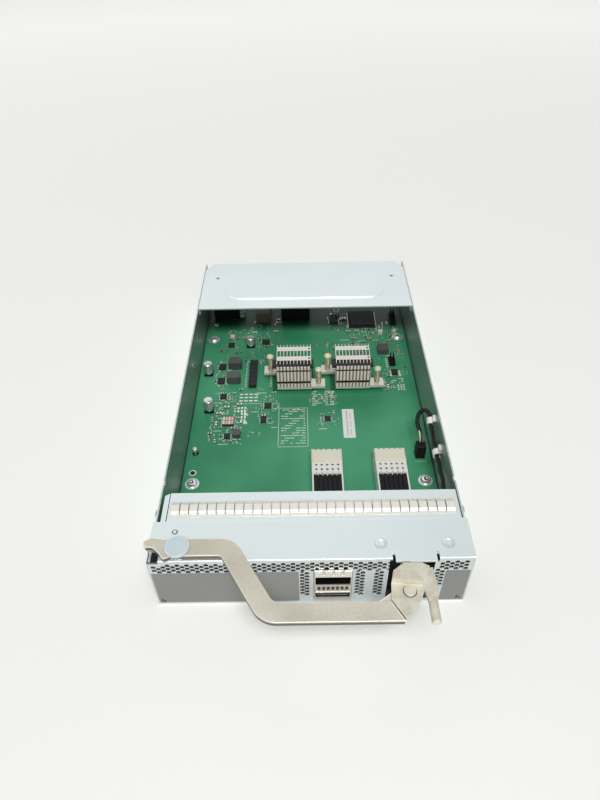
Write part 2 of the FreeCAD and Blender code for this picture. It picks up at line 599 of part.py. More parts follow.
# ---------------------------------------------------------------- ejector
def handle_bar():
    """The flat cranked bar: a hook at the pivot, a straight arm, a slope and the grip."""
    body = new_body("handle_bar", S.pivot_x, S.pivot_y, HANDLE_LOW)
    half = S.handle_width / 2
    slope = (S.slope_run * S.slope_run + S.slope_drop * S.slope_drop).root()
    miter = half * (slope - S.slope_run) / S.slope_drop
    grip_y = -S.slope_drop
    low_x = S.arm_length + S.slope_run
    outline = polygon(sketch(body), [
        (S.bar_end + S.end_slant, grip_y - half), (low_x - miter, grip_y - half),
        (S.arm_length - miter, -half), (-2.5, -half), (-6.2, -6.5), (-8.7, -3.1), (-12.4, 0.2),
        (-15.8, 0.2), (-17.7, 3.5), (-13.4, 6.1), (-7.3, half), (S.arm_length + miter, half),
        (low_x + miter, grip_y + half), (S.bar_end, grip_y + half)])
    bar = pad(body, outline, S.handle_thick)

    def upright_at(x, y):
        return lambda p: near(p.x, x) and near(p.y, y)

    bends = [(low_x - miter, grip_y - half, S.outer_bend), (S.arm_length + miter, half, S.outer_bend),
             (S.arm_length - miter, -half, S.upper_inner_bend),
             (low_x + miter, grip_y + half, S.lower_inner_bend),
             (-6.2, -6.5, 1.2), (-12.4, 0.2, 2.5), (-15.8, 0.2, 1.0), (-17.7, 3.5, 1.2),
             (-13.4, 6.1, 1.5)]
    for x, y, radius in bends:
        bar = soften(body, bar, radius, upright_at(x, y))
    bar = soften(body, bar, S.handle_round,
                 lambda p: p.x > 0 and p.x < (S.bar_end - 1).number
                 and (near(p.z, 0) or near(p.z, S.handle_thick)))
    reach_x, reach_y = S.latch_x - S.pivot_x, S.latch_y - S.pivot_y
    tongue = polygon(sketch(body), [
        (S.bar_end - 6, grip_y + half), (S.bar_end - 2, grip_y - half + 2),
        (S.bar_end + S.end_slant - 0.4, grip_y - half + 1.2),
        (reach_x + S.tongue_radius * 0.7, reach_y - S.tongue_radius * 0.7),
        (reach_x - S.tongue_radius * 0.7, reach_y + S.tongue_radius * 0.7)])
    pad(body, tongue, S.tongue_thick)
    post(body, reach_x, reach_y, S.tongue_radius, 0, S.tongue_thick)
    hole(body, 0, 0, S.pivot_radius + S.pivot_slip, -1, S.handle_thick + 1)
    hole(body, reach_x, reach_y, S.latch_rivet_radius + S.slip, -1, S.handle_thick + 1)
    return body


def handle_pivot_rivet():
    """The shouldered rivet: its broad head lies on the handle, its collar on the flange."""
    body = new_body("handle_pivot_rivet", S.pivot_x, S.pivot_y, S.tray_height)
    collar = HANDLE_LOW - S.tray_height - S.slip / 2
    head = HANDLE_LOW - S.tray_height + S.handle_thick + S.slip
    under = -S.sheet - S.slip / 2
    turn(body, [
        (0, under - 1), (4.2, under - 1), (4.5, under), (S.pivot_radius, under),
        (S.pivot_radius, 0.02), (S.pivot_collar, 0.02), (S.pivot_collar, collar),
        (S.pivot_radius, collar), (S.pivot_radius, head), (S.pivot_head_radius, head),
        (S.pivot_head_radius, head + S.pivot_head - 0.4),
        (S.pivot_head_radius - 0.4, head + S.pivot_head), (0, head + S.pivot_head)])
    return body


def latch_lever():
    """The cast lever: shield, raised pad, trigger post and the nose that reaches into the window."""
    low = HANDLE_LOW + S.tongue_thick + S.latch_slip
    body = new_body("latch_lever", S.latch_x, S.latch_y, low)
    top = HANDLE_LOW + S.handle_thick + S.latch_slip - low
    high = top + S.latch_raise
    shield = polygon(sketch(body), [
        (-7.9, 4.4), (-8.7, -4.1), (-3.3, -13.3), (3.2, -7.1), (7.8, 2.6)])
    pad(body, shield, top)
    raised = pad(body, polygon(sketch(body), [
        (-7.9, 4.4), (6.2, 2.6), (10.4, 11.1), (7.1, 13.0), (-1.4, 13.2), (-6.8, 9.0)]), high)
    soften(body, raised, 0.8, lambda p: near(p.z, high) and p.y > 3)
    flank = pad(body, polygon(sketch(body), [
        (6.2, 2.6), (7.8, -5.0), (11.6, -5.4), (13.4, 1.7), (12.3, 11.6), (10.4, 11.1)]), top + 1)
    soften(body, flank, 0.8, lambda p: near(p.z, top + 1) and p.x > 10.5 and p.x < 14)
    pin = pad(body, circle(sketch(body, "XZ", -3 - S.post_length), 9.9, top - 1, S.post_radius),
              S.post_length)
    soften(body, pin, 0.5, lambda p: near(p.y, -3 - S.post_length))
    left = S.nose_left - S.latch_x
    right = left + S.nose_width
    nose_low = NOSE_LOW - low
    front, rear = S.web_front - S.latch_y, S.web_rear - S.latch_y
    box(body, (left, front, nose_low), (right, rear, high - 2))
    box(body, (left, front, nose_low), (right, S.nose_reach - S.latch_y, nose_low + S.nose_height))
    tooth = S.nose_reach - S.latch_y
    box(body, (right - 0.5, tooth - S.tooth_length, nose_low),
        (right + S.tooth, tooth, nose_low + S.nose_height))
    hole(body, 0, 0, S.latch_rivet_radius + S.slip, -1, top + 1)
    return body


def latch_rivet():
    """The latch's pivot: head on the shield, tail below the handle's tongue and the spring."""
    body = new_body("latch_rivet", S.latch_x, S.latch_y, HANDLE_LOW)
    head = S.handle_thick + S.latch_slip + S.slip
    tail = -S.spring_height - 2 * S.slip
    shank = S.latch_rivet_radius
    turn(body, [
        (0, tail - 0.8), (3.6, tail - 0.8), (3.6, tail), (shank, tail), (shank, head),
        (S.latch_head_radius, head), (S.latch_head_radius, head + S.latch_head - 0.3),
        (S.latch_head_radius - 0.3, head + S.latch_head), (0, head + S.latch_head)])
    return body


def latch_spring():
    """The torsion spring's turns, as the sleeve that they fill between tongue and rivet tail."""
    body = new_body("latch_spring", S.latch_x, S.latch_y, HANDLE_LOW - S.spring_height - S.slip)
    inner = S.spring_radius - 2 * S.spring_wire
    turn(body, [(inner, 0), (S.spring_radius, 0), (S.spring_radius, S.spring_height),
                (inner, S.spring_height)])
    return body


def keeper_bracket():
    """The folded catch under the flange, with the leg that the latch's tooth passes."""
    top = S.tray_height - S.sheet - S.slip / 2
    body = new_body("keeper_bracket")
    box(body, (S.keeper_left, S.keeper_front, top - S.sheet),
        (S.keeper_right, S.keeper_rear, top))
    leg = S.nose_left + S.nose_width + S.tooth + S.keeper_leg_gap
    box(body, (leg, S.keeper_front, NOSE_LOW), (leg + S.sheet, S.keeper_rear, top))
    rivet = hole(body, S.keeper_rivet_x, S.keeper_rivet_y, S.keeper_rivet_radius + S.slip,
                 top - 2, top + 1)
    repeat(body, rivet, "X", S.keeper_rivet_span, 2)
    return body


def bracket_rivets():
    """Two rivets that hold the keeper bracket, their low heads ringed."""
    body = new_body("bracket_rivets", S.keeper_rivet_x, S.keeper_rivet_y, S.tray_height)
    head, shank = S.keeper_rivet_head, S.keeper_rivet_radius
    under = -2 * S.sheet - S.slip
    rivet = turn(body, [
        (0, under - 0.7), (head, under - 0.7), (head, under), (shank, under), (shank, 0.02),
        (head, 0.02), (head, 0.3), (shank, 0.45), (shank - 0.4, 0.2), (0, 0.2)])
    repeat(body, rivet, "X", S.keeper_rivet_span, 2)
    return body


def microswitch():
    """The small switch behind the latch's nose: case, plunger and terminals."""
    body = new_body("microswitch", S.switch_left, S.switch_front, SWITCH_LOW)
    case = box(body, (0, 0, 0), (S.switch_length, S.switch_depth, S.switch_height))
    soften(body, case, 0.4, lambda p: near(p.y, 0), "Chamfer")
    box(body, (S.switch_length * 0.6, -S.plunger, 2), (S.switch_length * 0.6 + 2, 0.5, 4))
    for share in (0.15, 0.5, 0.85):
        middle = S.switch_length * share
        box(body, (middle - 0.4, S.switch_depth - 0.5, 2.2),
            (middle + 0.4, S.switch_depth + S.terminal_reach, 2.7))
    return body


# ---------------------------------------------------------------- ports
def port_cage():
    """The folded cage of two stacked ports, standing through the panel and on the board."""
    body = new_body("port_cage")
    left, right, wall = S.cage_left, S.cage_right, S.cage_wall
    front = -S.cage_front
    behind = S.collar_depth
    box(body, (left, front, S.cage_low), (right, behind, S.cage_high))
    box(body, (left, front, BOARD_TOP), (right, S.cage_depth, S.cage_high - wall))
    for low, high in ((S.upper_port_low, S.upper_port_high),
                      (BOARD_TOP + wall / 2, S.lower_port_high)):
        box_cut(body, (left + wall, front - 1, low),
                (right - wall, S.port_depth + S.receptacle_depth, high))
    box_cut(body, (left + wall, front - 1, S.lower_port_high + wall),
            (right - wall, S.insert_depth, S.upper_port_low - wall))
    return body


def cage_springs():
    """The spring strip on the cage's face: a bar with wide fingers above round gaps."""
    body = new_body("cage_springs", S.cage_left, -S.cage_front, S.upper_port_high + S.comb_rise)
    width = S.cage_right - S.cage_left
    pitch = width / S.comb_fingers
    tall = S.cage_high - S.upper_port_high - S.comb_rise - S.comb_edge
    radius = S.comb_gap / 2
    middle = S.comb_bar + radius
    box(body, (S.comb_edge, -S.comb_metal, 0), (width - S.comb_edge, 0, tall))
    gap_round = cut(body, circle(sketch(body, "XZ", -1), pitch, middle, radius), 2)
    gap_open = box_cut(body, (pitch - radius, -1, middle), (pitch + radius, 1, tall + 1))
    repeat(body, [gap_round, gap_open], "X", pitch, S.comb_fingers - 1)
    return body


def port_insert():
    """The block between the ports, with its row of small windows."""
    body = new_body("port_insert")
    inner = S.cage_wall + S.insert_ease
    left, right = S.cage_left + inner, S.cage_right - inner
    low, high = S.lower_port_high + inner, S.upper_port_low - inner
    front = -S.cage_front + S.insert_recess
    box(body, (left, front, low), (right, S.insert_depth - S.insert_ease, high))
    reach = S.light_pitch * (S.window_count - 1) + S.light_width
    first = (S.cage_left + S.cage_right - reach) / 2
    window = box_cut(body, (first, front - 1, low + S.light_low),
                     (first + S.light_width, front + S.light_depth, high - S.light_high))
    repeat(body, window, "X", S.light_pitch, S.window_count)
    return body


def port_receptacles():
    """The two receptacles at the back of the port cavities, each with its card slot tongue."""
    body = new_body("port_receptacles")
    inner, ease, half = S.cage_wall + S.insert_ease, S.insert_ease, S.tongue_metal / 2
    left, right = S.cage_left + inner, S.cage_right - inner
    for low, high in ((S.upper_port_low, S.upper_port_high),
                      (BOARD_TOP + S.cage_wall / 2, S.lower_port_high)):
        box(body, (left, S.port_depth, low + ease),
            (right, S.port_depth + S.receptacle_depth - ease, high - ease))
        middle = (low + high) / 2
        box(body, (left + S.tongue_inset, S.port_depth - S.tongue_reach, middle - half),
            (right - S.tongue_inset, S.port_depth + 1, middle + half))
    return body


# ---------------------------------------------------------------- board
def circuit_board():
    body = new_body("circuit_board")
    half = S.tray_width / 2 - S.sheet - S.board_gap
    outline = rectangle(sketch(body, "XY", S.board_low), -half, S.board_front, half, S.board_rear)
    pad(body, outline, S.board_thick)
    below, above = S.board_low - 1, BOARD_TOP + 1
    screw = hole(body, -S.mount_x, S.mount_y, S.mount_hole, below, above)
    repeat(body, screw, "X", 2 * S.mount_x, 2, ("Y", S.mount_span, 2))
    ring = hole(body, S.ring_hole_x, S.ring_hole_y, S.ring_hole, below, above)
    repeat(body, ring, "Y", S.ring_span, 2)
    pin = hole(body, S.sink_x + ear_pin_x(-1), S.sink_y + ear_pin_y(1), S.ear_hole, below, above)
    repeat(body, pin, "X", S.sink_span, 2)
    pin = hole(body, S.sink_x + ear_pin_x(1), S.sink_y + ear_pin_y(-1), S.ear_hole, below, above)
    repeat(body, pin, "X", S.sink_span, 2)
    return body


def board_standoffs():
    """Four threaded standoffs pressed into the floor."""
    body = new_body("board_standoffs", -S.mount_x, S.mount_y, 0)
    top = S.board_low - 0.02
    shank = S.shank_radius - 0.03
    standoff = turn(body, [
        (S.thread_radius, 0.05), (shank, 0.05), (shank, S.sheet + 0.02),
        (S.standoff_radius, S.sheet + 0.02), (S.standoff_radius, top), (S.thread_radius, top)])
    repeat(body, standoff, "X", 2 * S.mount_x, 2, ("Y", S.mount_span, 2))
    return body


def board_screws():
    """Four pan-head screws through the board into the standoffs."""
    body = new_body("board_screws", -S.mount_x, S.mount_y, BOARD_TOP)
    shank = S.thread_radius - 0.05
    head, rise = S.board_screw_head, S.board_screw_rise
    end = -S.board_thick - S.board_low + 0.6
    screw = turn(body, [
        (0, end), (shank - 0.3, end), (shank, end + 0.3), (shank, 0.02), (head, 0.02),
        (head, rise * 0.45), (head * 0.75, rise * 0.9), (head * 0.42, rise), (head * 0.42, rise * 0.5),
        (0, rise * 0.5)])
    repeat(body, screw, "X", 2 * S.mount_x, 2, ("Y", S.mount_span, 2))
    return body


def support_post():
    """The plastic support that snaps into the rear ring hole."""
    body = new_body("support_post", S.ring_hole_x, S.ring_hole_y + S.ring_span, BOARD_TOP)
    shank = S.ring_hole - 0.1
    turn(body, [
        (0, -S.board_thick - 0.4), (shank, -S.board_thick - 0.4), (shank, 0.02), (2.1, 0.02),
        (2.1, 0.8), (1.5, 1.2), (1.5, S.support_height - 0.4), (1.1, S.support_height),
        (0, S.support_height)])
    return body


def chip_package(label, shift):
    """The chip under a heat sink: substrate and lid."""
    body = new_body(label, S.chip_left + shift, S.chip_front, BOARD_TOP)
    box(body, (0, 0, 0.02), (S.chip_wide, S.chip_deep, S.chip_tall))
    inset = S.lid_inset
    box(body, (inset, inset, S.chip_tall - 0.1),
        (S.chip_wide - inset, S.chip_deep - inset, S.chip_tall + S.lid_tall - 0.02))
    return body


def ear_pin_x(side):
    return side * (S.sink_wide / 2 + S.ear_pin)


def ear_pin_y(side):
    return side * (S.sink_deep / 2 - S.ear_inset - S.ear_depth / 2)


def heatsink(label, shift):
    """Base with two pinned ears and a stack of folded fins tied by two bands."""
    body = new_body(label, S.sink_x + shift, S.sink_y, BOARD_TOP + S.chip_tall + S.lid_tall)
    half_x, half_y = S.sink_wide / 2, S.sink_deep / 2
    base = S.sink_base
    box(body, (-half_x, -half_y, 0), (half_x, half_y, base))
    for side in (-1, 1):
        outer = side * (half_x + S.ear_reach)
        inner = side * (half_x - 1)
        ends = (outer, inner) if side < 0 else (inner, outer)
        middle = ear_pin_y(-side)
        box(body, (ends[0], middle - S.ear_depth / 2, 0), (ends[1], middle + S.ear_depth / 2, base))
        hole(body, ear_pin_x(side), middle, S.ear_hole, -1, base + 1)
    first = -S.fin_pitch * (S.fin_count - 1) / 2
    metal, top, foot = S.fin_metal, S.sink_tall, base - S.sink_root
    side = first - metal / 2
    step, ledge = S.fin_notch - half_y, top - S.fin_notch_drop
    outline = polygon(sketch(body, "YZ", side), [
        (-half_y, foot), (half_y, foot), (half_y, top), (step, top), (step, ledge),
        (-half_y, ledge)])
    fin = pad(body, outline, metal)
    bar = box(body, (side, -half_y, foot), (side + S.fin_pitch - S.fin_bar_gap, -half_y + metal, top))
    slots = []
    for low in (base + S.fin_face_low, base + S.fin_face_high):
        slots.append(box_cut(body, (side - 0.1, -half_y - 1, low),
                             (side + S.fin_pitch - S.fin_bar_gap - S.fin_neck,
                              -half_y + S.fin_slot_deep, low + S.fin_slot)))
    repeat(body, [fin, bar] + slots, "X", S.fin_pitch, S.fin_count - 1)
    last = polygon(sketch(body, "YZ", -side - metal), [
        (-half_y, foot), (half_y, foot), (half_y, top), (step, top), (step, ledge),
        (-half_y, ledge)])
    pad(body, last, metal)
    reach = -side
    for start in (S.front_band, S.rear_band):
        box(body, (-reach, start - half_y, top - S.band_metal),
            (reach, start + S.band_depth - half_y, top))
    return body


def push_pin(label, x, y):
    """A snap-in pin: round head, shaft through ear and board, split barb below."""
    body = new_body(label, x, y, BOARD_TOP)
    shaft, head = S.pin_shaft, S.pin_head_radius
    tall = S.pin_tall
    barb = -S.board_thick
    turn(body, [
        (0, barb - 1.0), (shaft * 0.5, barb - 1.0), (shaft + 0.25, barb - 0.1), (shaft, 0),
        (shaft, tall), (head, tall), (head, tall + S.pin_head * 0.6),
        (head * 0.6, tall + S.pin_head), (0, tall + S.pin_head)])
    return body


def push_pin_spring(label, x, y):
    """The spring's turns on a push pin, as the sleeve that they fill."""
    low = S.chip_tall + S.lid_tall + S.sink_base
    body = new_body(label, x, y, BOARD_TOP + low)
    tall = S.pin_tall - low
    inner = S.pin_shaft + 0.15
    turn(body, [(inner, 0.02), (S.pin_spring_radius, 0.02), (S.pin_spring_radius, tall - 0.02),
                (inner, tall - 0.02)])
    return body


def signal_connector(label, shift):
    """White housing: rear block, deck with two rows of holes, comb and two side walls."""
    body = new_body(label, S.signal_x + shift, 0, BOARD_TOP)
    half, wall = S.signal_wide / 2, S.signal_wall
    block_front = S.signal_rear - S.signal_block
    deck_front = block_front - S.signal_deck
    block = box(body, (-half, block_front, 0.02), (half, S.signal_rear, S.signal_tall))
    soften(body, block, 0.5, lambda p: near(p.z, S.signal_tall), "Chamfer")
    box(body, (-half + 0.2, deck_front, 0.02), (half - 0.2, block_front + 1, S.signal_deck_tall))
    for side in (-half + 0.2, half - 0.2 - wall):
        box(body, (side, S.signal_front, 0.02), (side + wall, deck_front + 1,
                                                 S.signal_deck_tall - 0.4))
    first = -S.signal_hole_pitch * (S.signal_holes - 1) / 2
    socket = hole(body, first, deck_front + 3.4, S.signal_hole, S.signal_deck_tall - 3,
                  S.signal_deck_tall + 1)
    repeat(body, socket, "X", S.signal_hole_pitch, S.signal_holes, ("Y", S.signal_deck * 0.38, 2))
    half_tooth = S.signal_tooth / 2
    tooth = box_cut(body, (first - half_tooth, deck_front - 1, S.signal_deck_tall - 2),
                    (first + half_tooth, deck_front + S.signal_tooth_deep, S.signal_deck_tall + 1))
    notch = box_cut(body, (first - half_tooth, S.signal_rear - S.signal_tooth_deep, S.signal_tall - 2),
                    (first + half_tooth, S.signal_rear + 1, S.signal_tall + 1))
    repeat(body, [tooth, notch], "X", S.signal_hole_pitch, S.signal_holes)
    return body


def signal_wafers(label, shift):
    """The black wafers between the housing's walls, one block grooved along its length."""
    body = new_body(label, S.signal_x + shift, 0, BOARD_TOP)
    half = S.signal_wide / 2 - S.signal_wall - 0.3
    rear = S.signal_rear - S.signal_block - S.signal_deck - 0.05
    box(body, (-half, S.signal_front + 0.5, 0.02), (half, rear, S.wafer_tall))
    pitch = 2 * half / S.wafer_count
    groove = box_cut(body, (-half + pitch - S.wafer_groove / 2, 0, S.wafer_tall - 1.2),
                     (-half + pitch + S.wafer_groove / 2, S.signal_rear, S.wafer_tall + 1))
    repeat(body, groove, "X", pitch, S.wafer_count - 1)
    return body


def capacitor(label, x, y, tall):
    """An electrolytic can on its moulded base, crimped near its foot."""
    body = new_body(label, x, y, BOARD_TOP)
    radius = S.can_radius
    base = S.can_base
    box(body, (-radius, -radius, 0.02), (radius, radius, base))
    turn(body, [
        (0, base - 0.1), (radius - 0.1, base - 0.1), (radius - 0.1, base + 0.5),
        (radius - 0.45, base + 0.9), (radius - 0.1, base + 1.3), (radius - 0.1, tall - 0.3),
        (radius - 0.4, tall), (0, tall)])
    return body


def power_inductor(label, shift):
    body = new_body(label, S.coil_x, S.coil_y + shift, BOARD_TOP)
    wide, deep, tall = S.coil_wide / 2, S.coil_deep / 2, S.coil_tall
    block = box(body, (-wide, -deep, 0.02), (wide, deep, tall))
    soften(body, block, 0.8, lambda p: near(abs(p.x), wide) and near(abs(p.y), deep), "Chamfer")
    for side in (-1, 1):
        ends = sorted((side * (wide - 0.2), side * (wide + 0.5)), key=lambda end: end.number)
        box(body, (ends[0], -deep + 1.5, 0.02), (ends[1], deep - 1.5, 1.4))
    return body


def block_capacitors():
    """A row of six moulded blocks."""
    body = new_body("block_capacitors", S.block_x, S.block_front, BOARD_TOP)
    block = box(body, (-S.block_wide / 2, 0, 0.02), (S.block_wide / 2, S.block_deep, S.block_tall))
    repeat(body, block, "Y", S.block_pitch, S.block_count)
    return body


def small_chips():
    """The flat chip packages, each a block lying on the board."""
    body = new_body("small_chips", 0, 0, BOARD_TOP)
    for name in CHIPS:
        x, y, wide, deep, tall = (getattr(S, f"{name}_{part}")
                                  for part in ("x", "y", "wide", "deep", "tall"))
        box(body, (x - wide / 2, y - deep / 2, 0.02), (x + wide / 2, y + deep / 2, tall))
    return body


def big_chip():
    """The large square package under the cover's edge."""
    body = new_body("big_chip", S.big_chip_x, S.big_chip_y, BOARD_TOP)
    half = S.big_chip_wide / 2
    box(body, (-half, -half, 0.02), (half, half, S.big_chip_tall * 0.45))
    inset = half - 1.2
    box(body, (-inset, -inset, S.big_chip_tall * 0.4), (inset, inset, S.big_chip_tall))
    return body


def coils():
    """Two small shielded coils."""
    body = new_body("coils", 0, 0, BOARD_TOP)
    for name in ("small_coil", "right_coil"):
        x, y, wide, tall = (getattr(S, f"{name}_{part}") for part in ("x", "y", "wide", "tall"))
        box(body, (x - wide / 2, y - wide / 2, 0.02), (x + wide / 2, y + wide / 2, tall))
    return body


def pin_header(label, x, y, count):
    """Two rows of square pins in a moulded strip, running along Y."""
    body = new_body(label, x, y, BOARD_TOP)
    pitch = S.header_pitch
    half = count * pitch / 2
    box(body, (-S.header_wide / 2, -half, 0.02), (S.header_wide / 2, half, S.header_base))
    pin = box(body, (-pitch / 2 - S.header_pin, -half + pitch / 2 - S.header_pin,
                     S.header_base - 0.5),
              (-pitch / 2 + S.header_pin, -half + pitch / 2 + S.header_pin, S.header_tall))
    repeat(body, pin, "X", pitch, 2, ("Y", pitch, count))
    return body


def rear_connector(label, x, wide, front, tall, cavities):
    """A moulded connector on the board's rear edge, its cavities open to the rear."""
    body = new_body(label, x, 0, BOARD_TOP)
    half = wide / 2
    block = box(body, (-half, front, 0.02), (half, S.rear_face, tall))
    soften(body, block, 0.6, lambda p: near(p.z, tall) and near(p.y, front), "Chamfer")
    cavities(body, half, tall)
    return body


def blade_slots(body, half, tall):
    pitch = 2 * half / S.blade_count
    slot = box_cut(body, (-half + pitch / 2 - S.blade_gap / 2, S.rear_face - 8, 2),
                   (-half + pitch / 2 + S.blade_gap / 2, S.rear_face + 1, tall - 2))
    repeat(body, slot, "X", pitch, S.blade_count)


def contact_grid(body, half, tall):
    pitch = (2 * half - 2) / S.contact_rows
    side = S.contact_size / 2
    first = -half + 1 + pitch / 2
    slot = box_cut(body, (first - side, S.rear_face - 5, 2 - side),
                   (first + side, S.rear_face + 1, 2 + side))
    repeat(body, slot, "X", pitch, S.contact_rows, ("Z", (tall - 4) / 4, 5))


def single_mouth(body, half, tall):
    box_cut(body, (-half + 1, S.rear_face - 10, 1.2), (half - 1, S.rear_face + 1, tall - 1.2))


# ---------------------------------------------------------------- cable
def cable_plug():
    """The plug on the board at the right: housing with a latch rib."""
    body = new_body("cable_plug", S.plug_x, S.plug_front, BOARD_TOP)
    half = S.plug_wide / 2
    block = box(body, (-half, 0, 0.02), (half, S.plug_deep, S.plug_tall))
    soften(body, block, 0.4, lambda p: near(p.z, S.plug_tall), "Chamfer")
    box(body, (-1, -0.6, 3), (1, 0.5, S.plug_tall - 1))
    return body


def cable_route():
    """The points that the cable passes, from the plug to the switch, in the card's frame."""
    wall_x = (S.tray_width / 2 - S.sheet - S.cable_wall_gap - S.cable_radius).number
    plug_x, top = S.plug_x.number, (BOARD_TOP + S.plug_tall).number
    end_x, end_z = (S.switch_left + S.switch_length / 2).number, SWITCH_TERMINAL_Z.number
    end_y = (S.switch_front + S.switch_depth + S.terminal_reach).number + 0.02
    rear = S.tray_length.number / 2
    route = [
        (plug_x, 97.2, top), (plug_x, 97.2, top + 4.4), (69.4, 103.4, 22.4), (68.9, 109.8, 21.6),
        (70.0, 114.2, 25.4), (73.4, 113.8, 29.6), (wall_x, 108.6, 30.4), (wall_x, 101.4, 26.8),
        (wall_x, 96.0, 26.0), (wall_x, 87.0, 25.6), (wall_x, 72.0, 25.6), (75.7, 58.5, 26.6),
        (74.5, 45.5, 28.6), (70.0, 34.6, 30.6), (62.0, 27.4, 32.4), (53.0, 24.2, 33.6),
        (end_x, 20.6, end_z), (end_x, end_y, end_z)]
    return [V(x, y - rear, z) for x, y, z in route]


def rounded_path(points):
    """Straight runs joined by tangent arcs, each as large as its two runs allow."""
    edges, start, radii = [], points[0], []
    for before, corner, after in zip(points, points[1:], points[2:]):
        back, ahead = (before - corner), (after - corner)
        run = min(back.Length, ahead.Length)
        back.normalize()
        ahead.normalize()
        turned = math.pi - back.getAngle(ahead)
        reach = 0.45 * run
        radii.append(reach / math.tan(turned / 2))
        enter, leave = corner + back * reach, corner + ahead * reach
        inward = (back + ahead).normalize()
        middle = corner + inward * (radii[-1] / math.cos(turned / 2) - radii[-1])
        edges.append(Part.LineSegment(start, enter).toShape())
        edges.append(Part.Arc(enter, middle, leave).toShape())
        start = leave
    edges.append(Part.LineSegment(start, points[-1]).toShape())
    print("cable arcs, smallest radius", round(min(radii), 1))
    return Part.Wire(edges)


def cable():
    """The wire bundle in its sleeve, one round cable along its real route."""
    path = rounded_path(cable_route())
    radius = S.cable_radius.number
    pieces = []
    for edge in path.Edges:
        start = edge.valueAt(edge.FirstParameter)
        ahead = edge.tangentAt(edge.FirstParameter)
        section = Part.Face(Part.Wire([Part.Circle(start, ahead, radius).toShape()]))
        if isinstance(edge.Curve, Part.Line):
            pieces.append(section.extrude(ahead * edge.Length))
        else:
            turned = math.degrees(edge.Length / edge.Curve.Radius)
            pieces.append(section.revolve(edge.Curve.Center, edge.Curve.Axis, turned))
    made = DOC.addObject("Part::Feature", "cable")
    made.Label = "cable"
    made.Shape = pieces[0].multiFuse(pieces[1:])
    want = math.pi * radius ** 2 * path.Length
    print("cable length", round(path.Length, 1), "volume over section times length",
          round(made.Shape.Volume / want, 4), "solids", len(made.Shape.Solids))
    return made


def cable_clip(label, from_front, z, slant):
    """A saddle clip on the right wall, its band in an arch over the cable."""
    body = new_body(label, S.tray_width / 2 - S.sheet, from_front, z)
    body.Placement.Rotation = FreeCAD.Rotation(V(1, 0, 0), slant)
    middle = -S.cable_wall_gap - S.cable_radius
    inner = S.cable_radius + S.clip_slip
    outer = inner + S.clip_metal
    half, face = S.clip_wide / 2, size(-0.03)
    pad(body, circle(sketch(body, "XZ", -half), middle, 0, outer), S.clip_wide)
    box(body, (middle, -half, -outer), (face, half, outer))
    for low, high in ((-outer - S.clip_foot, -inner), (inner, outer + S.clip_foot)):
        box(body, (face - 2 * S.clip_metal, -half, low), (face, half, high))
    cut(body, circle(sketch(body, "XZ", -half - 1), middle, 0, inner), S.clip_wide + 2)
    box_cut(body, (middle, -half - 1, -inner), (1, half + 1, inner))
    return body


# ---------------------------------------------------------------- the whole card
def build():
    parts = [base_tray(), front_panel(), rear_cover(), rear_cover_screws()]
    parts += gaskets()
    parts += [handle_bar(), handle_pivot_rivet(), latch_lever(), latch_rivet(), latch_spring(),
              keeper_bracket(), bracket_rivets(), microswitch()]
    parts += [port_cage(), cage_springs(), port_insert(), port_receptacles()]
    parts += [circuit_board(), board_standoffs(), board_screws(), support_post()]
    number = 0
    for side, shift in (("left", 0), ("right", S.sink_span)):
        parts += [chip_package(f"chip_package_{side}", shift), heatsink(f"heatsink_{side}", shift)]
        for corner in (-1, 1):
            number += 1
            x = S.sink_x + ear_pin_x(corner) + shift
            y = S.sink_y + ear_pin_y(-corner)
            parts += [push_pin(f"push_pin_{number}", x, y),
                      push_pin_spring(f"push_pin_spring_{number}", x, y)]
    for side, shift in (("left", 0), ("right", S.signal_span)):
        parts += [signal_connector(f"signal_connector_{side}", shift),
                  signal_wafers(f"signal_wafers_{side}", shift)]
    parts += [capacitor("capacitor_front", S.front_can_x, S.front_can_y, S.can_tall),
              capacitor("capacitor_middle", S.middle_can_x, S.middle_can_y, S.can_tall),
              capacitor("capacitor_rear", S.rear_can_x, S.rear_can_y, S.short_can_tall)]
    parts += [power_inductor("power_inductor_front", 0),
              power_inductor("power_inductor_rear", S.coil_span)]
    parts += [block_capacitors(), small_chips(), big_chip(), coils()]
    parts += [pin_header("pin_header_right", S.right_header_x, S.right_header_y,
                         S.right_header_count),
              pin_header("pin_header_rear", S.rear_header_x, S.rear_header_y,
                         S.rear_header_count)]
    parts += [rear_connector("power_connector", S.power_x, S.power_wide, S.power_front,
                             S.power_tall, blade_slots),
              rear_connector("data_connector", S.data_x, S.data_wide, S.data_front, S.data_tall,
                             contact_grid),
              rear_connector("framed_connector", S.framed_x, S.framed_wide, S.framed_front,
                             S.framed_tall, single_mouth)]
    parts += [cable_plug(), cable(), cable_clip("cable_clip_front", S.front_clip_y, S.front_clip_z, 0),
              cable_clip("cable_clip_rear", S.rear_clip_y, S.rear_clip_z, S.rear_clip_slant.number)]
    return parts


def check(parts):
    """Stop on any failed object, lost shape or pocket that removed nothing."""
    failed = [thing.Label for thing in DOC.Objects
              if {"Invalid", "Error"} & set(thing.State)]
    for thing in parts:
        if thing.Shape.isNull() or not thing.Shape.isValid() or not thing.Shape.Solids:
            failed.append(f"{thing.Label} has no sound shape")
    for thing in DOC.Objects:
        before = None
        if thing.TypeId in ("PartDesign::Pocket", "PartDesign::Hole"):
            before = thing.BaseFeature
        elif thing.TypeId == "Part::Cut":
            before = thing.Base
        if before and thing.Shape.Volume > before.Shape.Volume - 1e-4:
            failed.append(f"{thing.Name} cuts nothing")
    if failed:
        raise SystemExit("failed: " + ", ".join(failed))


